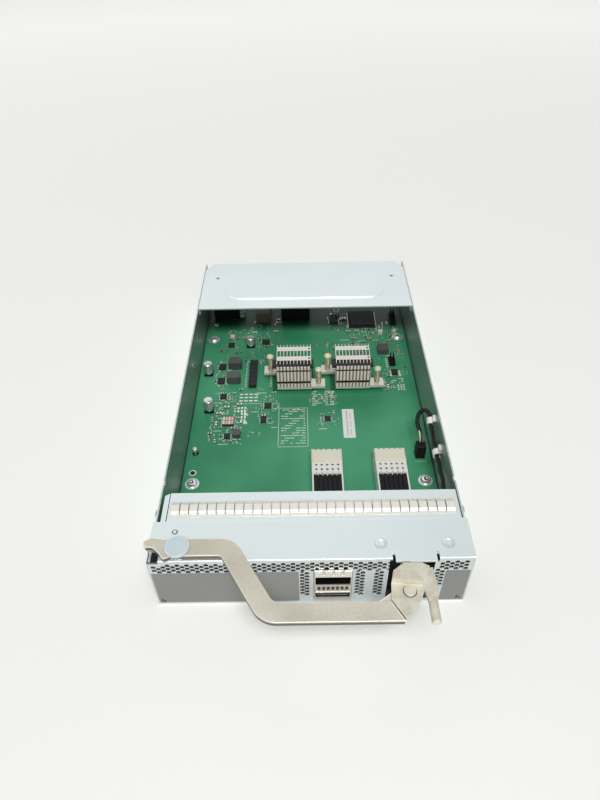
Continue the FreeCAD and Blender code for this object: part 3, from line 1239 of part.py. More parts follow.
def main():
    parts = build()
    DOC.recompute()
    check(parts)
    os.makedirs("parts", exist_ok=True)
    for thing in parts:
        thing.Shape.exportStep(f"parts/{thing.Label}.step")
        bounds = thing.Shape.BoundBox
        print(f"{thing.Label:24s} {len(thing.Shape.Solids)} solids "
              f"x {bounds.XMin:.1f}..{bounds.XMax:.1f} y {bounds.YMin:.1f}..{bounds.YMax:.1f} "
              f"z {bounds.ZMin:.1f}..{bounds.ZMax:.1f}")


main()
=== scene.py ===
# %% [markdown]
# # A switch line card
# A line card slides into a network chassis. This one is a shallow folded tray with a circuit
# board, two cooled chips, two stacked ports in a perforated panel, and an ejector handle with a
# sprung latch. The construction comes ready as a frame of separate solids. These cells give each
# solid its finish and add what a sheet-metal model leaves out: wires, springs, print and solder.

# %% Load the frame
import math
import random
import bpy
import bmesh
from mathutils import Matrix, Vector


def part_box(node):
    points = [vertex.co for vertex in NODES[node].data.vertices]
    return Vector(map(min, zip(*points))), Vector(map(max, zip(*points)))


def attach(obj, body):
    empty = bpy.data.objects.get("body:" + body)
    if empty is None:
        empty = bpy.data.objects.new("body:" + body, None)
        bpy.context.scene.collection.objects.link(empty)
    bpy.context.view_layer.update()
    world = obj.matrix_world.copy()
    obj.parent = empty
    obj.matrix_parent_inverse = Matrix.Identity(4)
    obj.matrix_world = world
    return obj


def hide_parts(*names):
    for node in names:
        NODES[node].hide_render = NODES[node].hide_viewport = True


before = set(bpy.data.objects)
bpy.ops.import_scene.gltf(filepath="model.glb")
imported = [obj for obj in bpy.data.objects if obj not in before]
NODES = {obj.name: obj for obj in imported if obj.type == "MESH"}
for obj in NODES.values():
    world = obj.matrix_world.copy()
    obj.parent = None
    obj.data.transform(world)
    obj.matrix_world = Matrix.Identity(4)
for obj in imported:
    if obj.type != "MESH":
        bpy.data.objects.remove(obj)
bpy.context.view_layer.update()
MM = 0.001

# %% [markdown]
# Positions are worked out from the frame. `at` turns a place on the card, counted in millimetres
# from the middle line and from the panel's face, into a point of the frame. The tray's rear edge
# gives the face, because the frame's origin is the middle of the tray.

# %% Reference places
FACE_Y = -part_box("base_tray")[1].y
BOARD_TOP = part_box("circuit_board")[1].z


def at(x, from_front, z=0.0):
    return Vector((x * MM, FACE_Y + from_front * MM, z * MM))


def on_board(x, from_front, rise=0.0):
    return Vector((x * MM, FACE_Y + from_front * MM, BOARD_TOP + rise * MM))


print("board top at", round(BOARD_TOP / MM, 2), "mm, face at", round(FACE_Y / MM, 2), "mm")

# %% [markdown]
# ## Camera
# The card is seen from the front and above, about 43 degrees down, by a short lens close to it, so
# the rear narrows strongly. The camera's axes are written out from three angles: pitch, yaw and a
# slight roll. That is easier to check than Euler angles.

# %% Camera
PITCH, YAW, ROLL = math.radians(43.32), math.radians(-0.53), math.radians(1.29)
CAMERA_PLACE = (-1.9, -163.4, 300.4)
LENS, NEAREST = 27.8, 0.01

ahead = Vector((math.sin(YAW) * math.cos(PITCH), math.cos(YAW) * math.cos(PITCH), -math.sin(PITCH)))
level = Vector((math.cos(YAW), -math.sin(YAW), 0.0))
down = ahead.cross(level)
across = math.cos(ROLL) * level + math.sin(ROLL) * down
upward = math.sin(ROLL) * level - math.cos(ROLL) * down
camera_data = bpy.data.cameras.new("camera")
camera_data.lens = LENS
camera_data.clip_start = NEAREST
camera = bpy.data.objects.new("camera", camera_data)
turn = Matrix((across, upward, -ahead)).transposed().to_4x4()
camera.matrix_world = Matrix.Translation(at(*CAMERA_PLACE)) @ turn
bpy.context.scene.collection.objects.link(camera)
bpy.context.scene.camera = camera
print("camera", round(camera.location.length, 3), "m from the middle of the tray")

# %% [markdown]
# ## Nodes in short
# A material is a graph, and wiring one socket at a time hides what it does. These helpers add a
# node and feed its inputs in one call, so that each effect below reads like its formula.

# %% Helpers for nodes
def feed(tree, socket, value):
    """Link the socket to another, or set it to a number, a direction or a colour."""
    if isinstance(value, bpy.types.NodeSocket):
        tree.links.new(value, socket)
    elif socket.type == "RGBA" and len(value) == 3:
        socket.default_value = (*value, 1.0)
    else:
        socket.default_value = value


def add(tree, kind, *inputs, operation=None, **named):
    """A node, fed in the order of its inputs or by their names, with _ for a space."""
    node = tree.nodes.new("ShaderNode" + kind)
    if operation:
        node.operation = operation
    for key, value in enumerate(inputs):
        feed(tree, node.inputs[key], value)
    for key, value in named.items():
        feed(tree, node.inputs[key.replace("_", " ")], value)
    return node


def maths(tree, operation, *inputs):
    return add(tree, "Math", *inputs, operation=operation).outputs[0]


def dot(tree, first, second):
    return add(tree, "VectorMath", first, second, operation="DOT_PRODUCT").outputs["Value"]


def ramp(tree, value, start=0.0, end=1.0, low=0.0, high=1.0):
    """From low to high while value goes from start to end, and level beyond."""
    return add(tree, "MapRange", value, start, end, low, high).outputs[0]


def mix_colour(tree, factor, low, high):
    """A mix of two colours; either may be a socket or three numbers."""
    node = tree.nodes.new("ShaderNodeMix")
    node.data_type = "RGBA"
    for index, value in ((0, factor), (6, low), (7, high)):
        feed(tree, node.inputs[index], value)
    return node.outputs[2]


def object_place(tree):
    return add(tree, "TexCoord").outputs["Object"]


def seen_directly(tree):
    """1 for the camera, reflections and what shows through glass, 0 for diffuse light."""
    path = add(tree, "LightPath").outputs
    seen = maths(tree, "MAXIMUM", path["Is Camera Ray"], path["Is Glossy Ray"])
    return maths(tree, "MAXIMUM", seen, path["Is Transmission Ray"])


def new_material(name):
    made = bpy.data.materials.new(name)
    made.use_nodes = True
    made.node_tree.nodes.clear()
    return made, made.node_tree


def shade(tree, **inputs):
    """The one Principled shader of a material, wired to its output."""
    shader = add(tree, "BsdfPrincipled", **inputs)
    add(tree, "OutputMaterial", shader.outputs[0])


# %% [markdown]
# ## Light and floor
# Metal on white wants large soft lamps, so that it reflects broad pale areas and shadows have no
# hard edge. The world is dimmer for diffuse light than for the camera and for reflections: that
# keeps the background white while the lamps still model the form.

# %% World
AMBIENT, SHOWN = 0.22, 0.84
SKY = (0.95, 0.97, 0.97, 1.0)
world = bpy.data.worlds.new("studio")
bpy.context.scene.world = world
world.use_nodes = True
tree = world.node_tree
tree.nodes.clear()
strength = ramp(tree, seen_directly(tree), low=AMBIENT, high=SHOWN)
add(tree, "OutputWorld", add(tree, "Background", SKY, strength).outputs[0])

# %% Lamps
LAMPS = [
    # name, place, size, watts, colour
    ("front_above", (0.05, -0.70, 1.15), (0.5, 0.32), 10.6, (1.0, 0.99, 0.97)),
    ("rear_above", (-0.2, 0.9, 1.2), (1.3, 0.9), 1.4, (0.96, 0.99, 1.0)),
    ("left_side", (-1.2, -0.1, 0.6), (0.8, 0.8), 1.2, (1.0, 1.0, 1.0))]
for name, place, size, watts, colour in LAMPS:
    data = bpy.data.lights.new(name, "AREA")
    data.shape = "RECTANGLE"
    data.size, data.size_y = size
    data.energy = watts
    data.color = colour
    lamp = bpy.data.objects.new(name, data)
    lamp.location = place
    lamp.rotation_euler = (-Vector(place)).to_track_quat("-Z", "Y").to_euler()
    bpy.context.scene.collection.objects.link(lamp)
print(len(LAMPS), "lamps aimed at the middle of the tray")

# %% [markdown]
# The floor is white paper. What the camera and shiny surfaces see of it is lifted a little by a
# faint glow, stronger far off where less lamp light falls, so it reads as white everywhere without
# any more light on the card. Diffuse light never meets that glow, and the card's shadow stays on
# the floor.

# %% Floor
FLOOR_COLOUR, FLOOR_ROUGHNESS, FLOOR_SIZE = (0.90, 0.905, 0.885, 1.0), 0.9, 6.0
FLOOR_LIFT, LIFT_FROM, BRIGHTEST = (0.13, 0.60), (0.35, 1.7), (0.0, -0.5, 0.0)
bpy.ops.mesh.primitive_plane_add(size=FLOOR_SIZE, location=(0, 0, 0))
floor = bpy.context.active_object
floor.name = "floor"
paper, tree = new_material("paper_floor")
away = add(tree, "VectorMath", object_place(tree), BRIGHTEST, operation="DISTANCE")
glow = ramp(tree, away.outputs["Value"], *LIFT_FROM, *FLOOR_LIFT)
shade(tree, Base_Color=FLOOR_COLOUR, Roughness=FLOOR_ROUGHNESS, Emission_Color=FLOOR_COLOUR,
      Emission_Strength=maths(tree, "MULTIPLY", seen_directly(tree), glow))
floor.data.materials.append(paper)

# %% [markdown]
# ## Shared effects
# Real metal is never even: it has a grain, a slow change of tone from handling, and bright edges
# where the plating is worn; the same edge tone also carries a painted highlight, and on the spring
# strip a painted shade. Some tones also go by place: one side of a sheet, or the faces that look
# one way, and several of these are painted shade or painted light. Each effect is a node group, so
# every material can use it with its own values.

# %% Node groups
def new_group(name, build, **inputs):
    """A group with these inputs and their defaults, and the outputs that build returns."""
    tree = bpy.data.node_groups.new(name, "ShaderNodeTree")
    for label, value in inputs.items():
        kind = "NodeSocketVector" if isinstance(value, tuple) else "NodeSocketFloat"
        socket = tree.interface.new_socket(label, in_out="INPUT", socket_type=kind)
        socket.default_value = value
    results = build(tree, tree.nodes.new("NodeGroupInput").outputs)
    for label, result in results.items():
        kind = "NodeSocketVector" if result.type == "VECTOR" else "NodeSocketFloat"
        tree.interface.new_socket(label, in_out="OUTPUT", socket_type=kind)
    out = tree.nodes.new("NodeGroupOutput")
    for label, result in results.items():
        tree.links.new(result, out.inputs[label])
    return tree


def grain_nodes(tree, given):
    """Fine noise, optionally stretched: a tone between 0 and 1, and a bumped normal."""
    stretch = add(tree, "CombineXYZ", given["Stretch"], 1.0, 1.0).outputs[0]
    place = add(tree, "VectorMath", object_place(tree), stretch, operation="MULTIPLY").outputs[0]
    noise = add(tree, "TexNoise", Vector=place, Scale=given["Scale"], Detail=5.0,
                Roughness=0.62).outputs[0]
    bump = add(tree, "Bump", Strength=given["Depth"], Distance=0.0003, Height=noise)
    return {"Tone": noise, "Normal": bump.outputs[0]}


def handling_nodes(tree, given):
    """Slow blotches from handling and storage, between 0 and 1."""
    noise = add(tree, "TexNoise", Vector=object_place(tree), Scale=given["Scale"], Detail=3.0)
    return {"Mask": ramp(tree, noise.outputs[0], given["Low"], given["High"])}


def edge_nodes(tree, given):
    """1 within Reach of an edge, falling to 0 on flats."""
    bevel = add(tree, "Bevel", given["Reach"])
    bevel.samples = 6
    flat = add(tree, "NewGeometry").outputs["Normal"]
    return {"Edge": ramp(tree, dot(tree, bevel.outputs[0], flat), 0.995, 0.92)}


def zone_nodes(tree, given):
    """A ramp from 0 at From to 1 at To, measured along a direction of the frame."""
    reach = dot(tree, object_place(tree), given["Along"])
    return {"Mask": ramp(tree, reach, given["From"], given["To"])}


def facing_nodes(tree, given):
    """A ramp from 0 to 1 as a face's normal leans from Low to High along a direction."""
    lean = dot(tree, add(tree, "NewGeometry").outputs["Normal"], given["Toward"])
    return {"Mask": ramp(tree, maths(tree, "ABSOLUTE", lean), given["Low"], given["High"])}


GRAIN = new_group("grain", grain_nodes, Scale=900.0, Stretch=1.0, Depth=0.1)
HANDLING = new_group("handling", handling_nodes, Scale=25.0, Low=0.35, High=0.65)
EDGE_WEAR_AND_PAINTED_LIGHT = new_group("wear_and_painted_light_edge", edge_nodes, Reach=0.0006)
ZONE = new_group("zone", zone_nodes, Along=(0.0, 0.0, 1.0), From=0.0, To=0.001)
FACING = new_group("facing", facing_nodes, Toward=(0.0, -1.0, 0.0), Low=0.5, High=0.8)
print(len(bpy.data.node_groups), "shared effects")

# %% [markdown]
# ## Finishes
# Every finish is one Principled shader fed by the shared effects: two close tones mixed by the
# grain and the handling blotches, an edge tone that is partly worn plating and partly a painted
# highlight, and a little bump.
# What differs is colour, gloss and how coarse the grain is, so one function makes them all.

# %% The finish function
GRAIN_SHARE, BLOTCH_SHARE = 0.6, 0.4
SMOOTHEST, ROUGHEST = 0.85, 1.2


def placed(tree, group, **values):
    """The outputs of a shared effect with its inputs set."""
    node = tree.nodes.new("ShaderNodeGroup")
    node.node_tree = group
    for name, value in values.items():
        node.inputs[name].default_value = value
    return node.outputs


def zone(along, start, end):
    """A mask for finish: from 0 to 1 between two distances along X, Y or Z."""
    direction = tuple(1.0 if axis == along else 0.0 for axis in "XYZ")
    return ZONE, {"Along": direction, "From": start, "To": end}


def faces(toward, low, high):
    """A mask for finish: faces that lean along a direction."""
    return FACING, {"Toward": toward, "Low": low, "High": high}


def where_all(tree, masks):
    """The product of several masks."""
    factor = None
    for group, values in masks:
        mask = placed(tree, group, **values)["Mask"]
        factor = mask if factor is None else maths(tree, "MULTIPLY", factor, mask)
    return factor


def finish(name, tone, other_tone, metallic, roughness, grain=(900, 0.1), stretch=1.0, edge=None,
           edge_reach=0.0006, handling=(25, 0.35, 0.65), specular=0.5, places=()):
    """A material; grain is scale and depth, handling is scale and the ends of its ramp."""
    made, tree = new_material(name)
    fine = placed(tree, GRAIN, Scale=grain[0], Stretch=stretch, Depth=grain[1])
    slow = placed(tree, HANDLING, Scale=handling[0], Low=handling[1], High=handling[2])
    blotches = maths(tree, "MULTIPLY", slow["Mask"], BLOTCH_SHARE)
    blend = maths(tree, "MULTIPLY_ADD", fine["Tone"], GRAIN_SHARE, blotches)
    colour = mix_colour(tree, blend, tone, other_tone)
    for *masks, other in places:
        colour = mix_colour(tree, where_all(tree, masks), colour, other)
    # The edge tone is partly worn plating and partly a painted highlight; on the spring strip it is
    # a painted shade in the gaps between fingers.
    if edge:
        wear_and_painted_light = placed(tree, EDGE_WEAR_AND_PAINTED_LIGHT, Reach=edge_reach)
        colour = mix_colour(tree, wear_and_painted_light["Edge"], colour, edge)
    rough = ramp(tree, blend, low=roughness * SMOOTHEST, high=min(1.0, roughness * ROUGHEST))
    shade(tree, Base_Color=colour, Metallic=metallic, Roughness=rough,
          Specular_IOR_Level=specular, Normal=fine["Normal"])
    return made


# %% Metal finishes
ZINC_TONES = (0.66, 0.725, 0.735), (0.73, 0.785, 0.79)


def zinc(name, lift=0.0, places=()):
    """Zinc-plated sheet, its two tones raised or lowered together."""
    low, high = (tuple(part + lift for part in tone) for tone in ZINC_TONES)
    return finish(name, low, high, 0.75, 0.38, grain=(500, 0.04), edge=(0.88, 0.90, 0.90),
                  edge_reach=0.0005, places=places)


# Places where a tone changes: each ramp runs over a fraction of a millimetre.
INNER_WALL, FLOOR_TOP = 0.0785, (0.0003, 0.0006)
BEHIND_FACE, UNDER_FLANGE_TOP = (FACE_Y + 0.0001, FACE_Y + 0.0003), (0.0389, 0.0387)
BEHIND_CAGE_FACE = (FACE_Y - 0.0003, FACE_Y - 0.0001)
CAN_BASE = (BOARD_TOP + 0.0022, BOARD_TOP + 0.0018)
DECK_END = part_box("signal_connector_left")[1].y - 10.6 * MM
# Inside its walls the tray gets a painted shade with a green cast, a painted reflection of the
# board.
TRAY_ZINC = zinc("zinc_tray", places=[
    (zone("X", -INNER_WALL - 0.0002, -INNER_WALL), zone("X", INNER_WALL + 0.0002, INNER_WALL),
     zone("Z", *FLOOR_TOP), (0.34, 0.40, 0.375))])
# Behind its face and below the top flange the panel gets a painted shade, nearly black, so the
# holes look dark.
PANEL_ZINC = zinc("zinc_panel", places=[
    (zone("Y", *BEHIND_FACE), zone("Z", *UNDER_FLANGE_TOP), (0.05, 0.052, 0.052))])
COVER_ZINC = zinc("zinc_cover", lift=0.10)
# Its dark edge tone is a painted shade in the gaps between the spring fingers.
TINNED = finish("tinned_spring", (0.80, 0.775, 0.70), (0.88, 0.86, 0.80), 0.45, 0.34,
                grain=(700, 0.03), edge=(0.22, 0.19, 0.16), edge_reach=0.0002)
# The side faces of the handle and the bracket get a painted shade; the wide bright edge tone is a
# painted highlight.
NICKEL = finish("satin_nickel", (0.42, 0.39, 0.32), (0.80, 0.755, 0.65), 0.50, 0.46,
                grain=(800, 0.40), edge=(1.0, 0.97, 0.90), edge_reach=0.0011,
                places=[(faces((0, 0, 1), 0.6, 0.3), (0.17, 0.145, 0.11))])
# Faces of the latch turned to the front and a little up get a painted light, nearly white.
CAST = finish("cast_zinc", (0.50, 0.465, 0.37), (0.80, 0.765, 0.66), 0.25, 0.55,
              grain=(700, 0.75), edge=(0.88, 0.86, 0.74), handling=(160, 0.40, 0.60),
              places=[(faces((0, -0.94, 0.34), 0.85, 0.93), (0.95, 0.92, 0.77))])
DISC = finish("blue_zinc", (0.50, 0.60, 0.645), (0.58, 0.675, 0.70), 0.50, 0.30,
              grain=(300, 0.01), edge=(0.95, 0.96, 0.96), edge_reach=0.0008,
              handling=(90, 0.40, 0.60))
STEEL = finish("zinc_fastener", (0.62, 0.66, 0.69), (0.76, 0.79, 0.80), 0.85, 0.24,
               grain=(700, 0.05), edge=(0.95, 0.95, 0.95), edge_reach=0.0003)
SINK = finish("plated_fins", (0.72, 0.69, 0.62), (0.84, 0.81, 0.74), 0.35, 0.38,
              grain=(900, 0.04), edge=(0.92, 0.90, 0.84), edge_reach=0.0002)
CAN = finish("bare_can", (0.62, 0.64, 0.65), (0.76, 0.77, 0.77), 0.85, 0.32,
             grain=(300, 0.03), stretch=6.0, places=[(zone("Z", *CAN_BASE), (0.03, 0.03, 0.032))])
# Behind a line just in front of the panel's face, the cage and the block between the ports are a
# painted shade, nearly black.
CAGE = finish("nickel_cage", (0.58, 0.55, 0.49), (0.72, 0.69, 0.63), 0.60, 0.34,
              grain=(900, 0.06), edge=(0.92, 0.89, 0.83), edge_reach=0.0002,
              places=[(zone("Y", *BEHIND_CAGE_FACE), (0.012, 0.010, 0.009))])
SPRING_PLATE = finish("cage_finger", (0.80, 0.775, 0.70), (0.90, 0.88, 0.82), 0.55, 0.25,
                      grain=(700, 0.03), edge=(0.97, 0.96, 0.94), edge_reach=0.0003)

# %% Plastic finishes
BLACK = finish("black_plastic", (0.006, 0.006, 0.007), (0.018, 0.019, 0.020), 0.0, 0.50,
               grain=(1500, 0.12), specular=0.13)
CHIP = finish("moulded_chip", (0.012, 0.013, 0.015), (0.032, 0.034, 0.038), 0.0, 0.60,
              grain=(1800, 0.18), specular=0.28)
FERRITE = finish("grey_ferrite", (0.055, 0.058, 0.062), (0.12, 0.12, 0.125), 0.1, 0.45,
                 grain=(1500, 0.25))
IVORY = finish("ivory_plastic", (0.74, 0.70, 0.57), (0.83, 0.79, 0.67), 0.0, 0.55,
               grain=(1000, 0.25),
               places=[(zone("Y", DECK_END, DECK_END - 0.0002), (0.82, 0.83, 0.80))])
WHITE = finish("white_plastic", (0.80, 0.81, 0.77), (0.87, 0.87, 0.84), 0.0, 0.45,
               grain=(800, 0.05))
NYLON = finish("pale_nylon", (0.70, 0.72, 0.42), (0.82, 0.83, 0.56), 0.0, 0.40, grain=(600, 0.05))
TAN = finish("tan_plastic", (0.13, 0.10, 0.07), (0.20, 0.16, 0.11), 0.0, 0.5, grain=(700, 0.08))
SLEEVE = finish("woven_sleeve", (0.006, 0.006, 0.007), (0.022, 0.022, 0.024), 0.0, 0.66,
                grain=(2200, 0.5), specular=0.25)
print(len(bpy.data.materials), "materials so far")

# %% [markdown]
# ## Solder mask
# The board's green lacquer is clear enough to show what lies under it. Copper areas look a little
# brighter and yellower than bare laminate, and rows of tiny vias make a faint dotted grid. The
# grid is arithmetic on the board's own coordinates, which stays sharp at any distance. Under the
# panel's flange the board gets a painted shade, nearly black, so openings there look dark, and
# under the rear cover a painted shadow of the cover makes the lacquer a deeper green.

# %% Solder mask
def dot_nodes(tree, given):
    """A grid of small round dots: 1 inside a dot, 0 outside."""
    place = add(tree, "SeparateXYZ", object_place(tree)).outputs
    squares = []
    for axis in "XY":
        part = maths(tree, "FRACT", maths(tree, "DIVIDE", place[axis], given["Pitch"]))
        offset = maths(tree, "SUBTRACT", part, 0.5)
        squares.append(maths(tree, "MULTIPLY", offset, offset))
    radius = maths(tree, "MULTIPLY", given["Size"], given["Size"])
    return {"Dot": maths(tree, "LESS_THAN", maths(tree, "ADD", *squares), radius)}


DOTS = new_group("dot_grid", dot_nodes, Pitch=0.0025, Size=0.12)
MASK_DARK, MASK_LIGHT = (0.028, 0.235, 0.112), (0.062, 0.330, 0.168)
MASK_COPPER, COPPER_SHOWS = (0.11, 0.43, 0.25), 0.24
# Painted shade on the board: nearly black under the panel's flange, and the deeper green of the
# rear cover's painted shadow.
SHADED = [
    # where the shade begins and is full, from the face, and its colour
    (0.040, 0.030, (0.004, 0.010, 0.006)),
    (0.226, 0.238, (0.010, 0.070, 0.038))]


def solder_mask():
    made, tree = new_material("solder_mask")
    slow = placed(tree, HANDLING, Scale=13.0, Low=0.40, High=0.60)
    colour = mix_colour(tree, slow["Mask"], MASK_DARK, MASK_LIGHT)
    dots = placed(tree, DOTS, Pitch=0.0023, Size=0.17)
    faint = maths(tree, "MULTIPLY", dots["Dot"], COPPER_SHOWS)
    colour = mix_colour(tree, faint, colour, MASK_COPPER)
    for start, end, shade_colour in SHADED:
        colour = mix_colour(tree, where_all(tree, [zone("Y", FACE_Y + start, FACE_Y + end)]),
                            colour, shade_colour)
    fine = placed(tree, GRAIN, Scale=260.0, Stretch=1.0, Depth=0.03)
    shade(tree, Base_Color=colour, Roughness=0.38, Specular_IOR_Level=0.35, Normal=fine["Normal"])
    return made


MASK = solder_mask()
PRINT = finish("white_print", (0.72, 0.76, 0.70), (0.82, 0.85, 0.80), 0.0, 0.6)
SOLDER = finish("solder_pad", (0.62, 0.64, 0.62), (0.80, 0.81, 0.78), 0.8, 0.3,
                grain=(1800, 0.2))
GREY_FIELD = finish("face_field", (0.29, 0.295, 0.28), (0.33, 0.335, 0.32), 0.0, 0.72,
                    grain=(2600, 0.08))
# The chip packages are a green substrate, darkened as painted shade to the board's green in the
# shade under the heat sinks.
SUBSTRATE_IN_SHADE = finish("chip_substrate_in_shade", (0.008, 0.090, 0.040), (0.016, 0.130, 0.060), 0.0, 0.5,
                   grain=(900, 0.05), specular=0.3)

# %% [markdown]
# ## Dressing the solids
# The solids of the frame keep their shape and only get a finish. A table from finish to solids is
# short, complete and easy to check, and whatever it leaves out is reported.

# %% Dress the solids
def left_right(name):
    return [f"{name}_left", f"{name}_right"]


DRESS = {
    TRAY_ZINC: ["base_tray"],
    PANEL_ZINC: ["front_panel"],
    COVER_ZINC: ["rear_cover"],
    TINNED: ["top_gasket", "left_gasket", "right_gasket"],
    SPRING_PLATE: ["cage_springs"],
    CAST: ["latch_lever", "latch_rivet"],
    DISC: ["handle_pivot_rivet"],
    STEEL: ["rear_cover_screws", "bracket_rivets", "board_screws", "board_standoffs",
            "latch_spring"] + [f"push_pin_spring_{n}" for n in range(1, 5)],
    CAGE: ["port_cage", "port_insert"],
    NICKEL: ["handle_bar", "keeper_bracket"],
    BLACK: ["port_receptacles", "microswitch", "cable_plug", "pin_header_right",
            "pin_header_rear", "power_connector", "data_connector"] + left_right("signal_wafers"),
    CHIP: ["small_chips", "big_chip", "block_capacitors"],
    SUBSTRATE_IN_SHADE: left_right("chip_package"),
    FERRITE: ["power_inductor_front", "power_inductor_rear", "coils"],
    MASK: ["circuit_board"],
    SINK: left_right("heatsink"),
    NYLON: [f"push_pin_{n}" for n in range(1, 5)],
    IVORY: left_right("signal_connector"),
    WHITE: ["cable_clip_front", "cable_clip_rear"],
    TAN: ["framed_connector"],
    CAN: ["capacitor_front", "capacitor_middle", "capacitor_rear", "support_post"],
    SLEEVE: ["cable"],
}
for surface, members in DRESS.items():
    for member in members:
        mesh = NODES[member].data
        mesh.materials.clear()
        mesh.materials.append(surface)
undressed = set(NODES) - {member for members in DRESS.values() for member in members}
print("without a finish:", sorted(undressed))

# %% [markdown]
# ## Making pieces
# The details below are small and many: solder joints, leads, print, wires. Each is one mesh built
# from simple solids, so a whole family of details is one object with one or a few finishes. Such an
# object rides on the body that carries it.

# %% Helpers for pieces
def carried(name, data, surfaces, body):
    """An object with its finishes, riding on a body of the frame."""
    made = bpy.data.objects.new(name, data)
    bpy.context.scene.collection.objects.link(made)
    for surface in surfaces if isinstance(surfaces, list) else [surfaces]:
        data.materials.append(surface)
    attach(made, body)
    return made


def piece(surfaces, body="card"):
    """Turns a function that fills a mesh into the piece of the same name."""
    def make(build):
        mesh = bpy.data.meshes.new(build.__name__)
        shape = bmesh.new()
        build(shape)
        shape.to_mesh(mesh)
        shape.free()
        carried(build.__name__, mesh, surfaces, body)
        print(build.__name__, "has", len(mesh.polygons), "faces")
    return make


def block(shape, low, high, surface=0, bevel=0.0):
    """A block between two corners, its edges broken by bevel in millimetres."""
    made = bmesh.ops.create_cube(shape, size=1.0)["verts"]
    for corner in made:
        corner.co = Vector([low[i] if corner.co[i] < 0 else high[i] for i in range(3)])
    sides = {face for corner in made for face in corner.link_faces}
    if bevel:
        edges = list(dict.fromkeys(edge for corner in made for edge in corner.link_edges))
        sides |= set(bmesh.ops.bevel(shape, geom=edges, offset=bevel * MM, segments=1,
                                     affect="EDGES")["faces"])
    for face in sides:
        if face.is_valid:
            face.material_index = surface


LACQUER = 0.03


def board_block(shape, left, front, right, rear, high, low=LACQUER, surface=0, bevel=0.0):
    """A block on the board, in millimetres; low and high count from the board's top."""
    block(shape, on_board(left, front, low), on_board(right, rear, high), surface, bevel)


def off(spot, x=0.0, y=0.0, z=0.0):
    """A point moved by millimetres."""
    return Vector(spot) + Vector((x, y, z)) * MM


def disc(shape, middle, radius, height, surface=0, sides=20, top=None):
    """An upright cylinder or cone standing on middle, sizes in millimetres."""
    made = bmesh.ops.create_cone(shape, cap_ends=True, segments=sides, radius1=radius * MM,
                                 radius2=(top or radius) * MM, depth=height * MM,
                                 matrix=Matrix.Translation(off(middle, z=height / 2)))
    for corner in made["verts"]:
        for face in corner.link_faces:
            face.material_index = surface


def ring(shape, middle, inner, outer, height, surface=0, sides=28):
    """A flat ring, sizes in millimetres: a low tube of four corners turned about Z."""
    rows = []
    for step in range(sides):
        angle = 2 * math.pi * step / sides
        rows.append([shape.verts.new(off(middle, radius * math.cos(angle),
                                         radius * math.sin(angle), up))
                     for radius, up in ((inner, 0), (outer, 0), (outer, height), (inner, height))])
    for here, there in zip(rows, rows[1:] + rows[:1]):
        for i in range(4):
            face = shape.faces.new((here[i - 1], there[i - 1], there[i], here[i]))
            face.material_index = surface


# %% [markdown]
# Several solids may share one node, and the details need to know where each of them stands. Points
# that an edge joins belong together, and so does whatever they touch in turn: the groups that are
# left over are the separate solids.

# %% Separate solids
def joined(keys, pairs):
    """Groups of keys that the pairs tie together, directly or through others."""
    owner = {key: key for key in keys}

    def root(key):
        while owner[key] != key:
            owner[key] = owner[owner[key]]
            key = owner[key]
        return key

    for first, second in pairs:
        owner[root(first)] = root(second)
    groups = {}
    for key in owner:
        groups.setdefault(root(key), []).append(key)
    return list(groups.values())


def shells_of(node):
    """The box of each separate solid in a node, as (low, high)."""
    mesh = NODES[node].data
    keys = [tuple(round(value, 6) for value in vertex.co) for vertex in mesh.vertices]
    pairs = [(keys[edge.vertices[0]], keys[edge.vertices[1]]) for edge in mesh.edges]
    return [(Vector([min(key[i] for key in group) for i in range(3)]),
             Vector([max(key[i] for key in group) for i in range(3)]))
            for group in joined(keys, pairs)]


def centre(low, high, z=0.0):
    return Vector(((low.x + high.x) / 2, (low.y + high.y) / 2, z))


CHIP_SHELLS = sorted(shells_of("small_chips"), key=lambda shell: tuple(shell[0]))
print(len(CHIP_SHELLS), "flat chips")

# %% [markdown]
# ## Painted fields on the face
# The panel's face is bare zinc round the ports, and two areas carry a matte grey film, cut to leave
# the perforation open. On a real card such a film carries print, which here is only a pair of small
# plain marks. The film is a thin plate just in front of the metal, with rounded corners.

# %% Grey fields
FILM_FRONT, FILM_BACK, FILM_CORNER = -0.07, -0.01, 0.8
# Dark print for marks, also used as painted shade round the punched holes and for the dark gaps
# round a pin and a rivet.
DARK_PRINT_AND_SHADE = finish("dark_print_and_shade", (0.010, 0.010, 0.010), (0.028, 0.028, 0.028), 0.0, 0.7,
                    specular=0.2)


def film(shape, left, low, right, high):
    """An upright plate with rounded corners on the panel's face, sizes in millimetres."""
    outline, corner = [], FILM_CORNER
    for x, z, start in ((right - corner, high - corner, 0), (left + corner, high - corner, 90),
                        (left + corner, low + corner, 180), (right - corner, low + corner, 270)):
        for step in range(5):
            angle = math.radians(start + 22.5 * step)
            outline.append((x + corner * math.cos(angle), z + corner * math.sin(angle)))
    front, back = ([shape.verts.new(at(x, y, z)) for x, z in outline]
                   for y in (FILM_FRONT, FILM_BACK))
    shape.faces.new(front)
    shape.faces.new(back[::-1])
    for i in range(len(outline)):
        shape.faces.new((front[i], front[i - 1], back[i - 1], back[i]))


@piece(GREY_FIELD)
def face_field_left(shape):
    film(shape, -79.0, 1.9, -6.0, 30.0)


@piece(GREY_FIELD)
def face_field_right(shape):
    film(shape, 66.6, 1.2, 79.0, 29.6)


@piece(DARK_PRINT_AND_SHADE)
def face_marks(shape):
    for left in (-77.6, 75.2):
        for number, tall in enumerate((3.0, 2.2)):
            x = left + 1.2 * number
            block(shape, at(x, -0.09, 2.6), at(x + 0.6, -0.075, 2.6 + tall))


# %% [markdown]
# ## Perforation
# Each punched hole gets a dark rim of painted shade, which makes it look wider and darker. The
# holes are found in the panel's own mesh: each wall of a punched hole has one short edge in the
# front plane, and a closed run of six such edges is one hole.

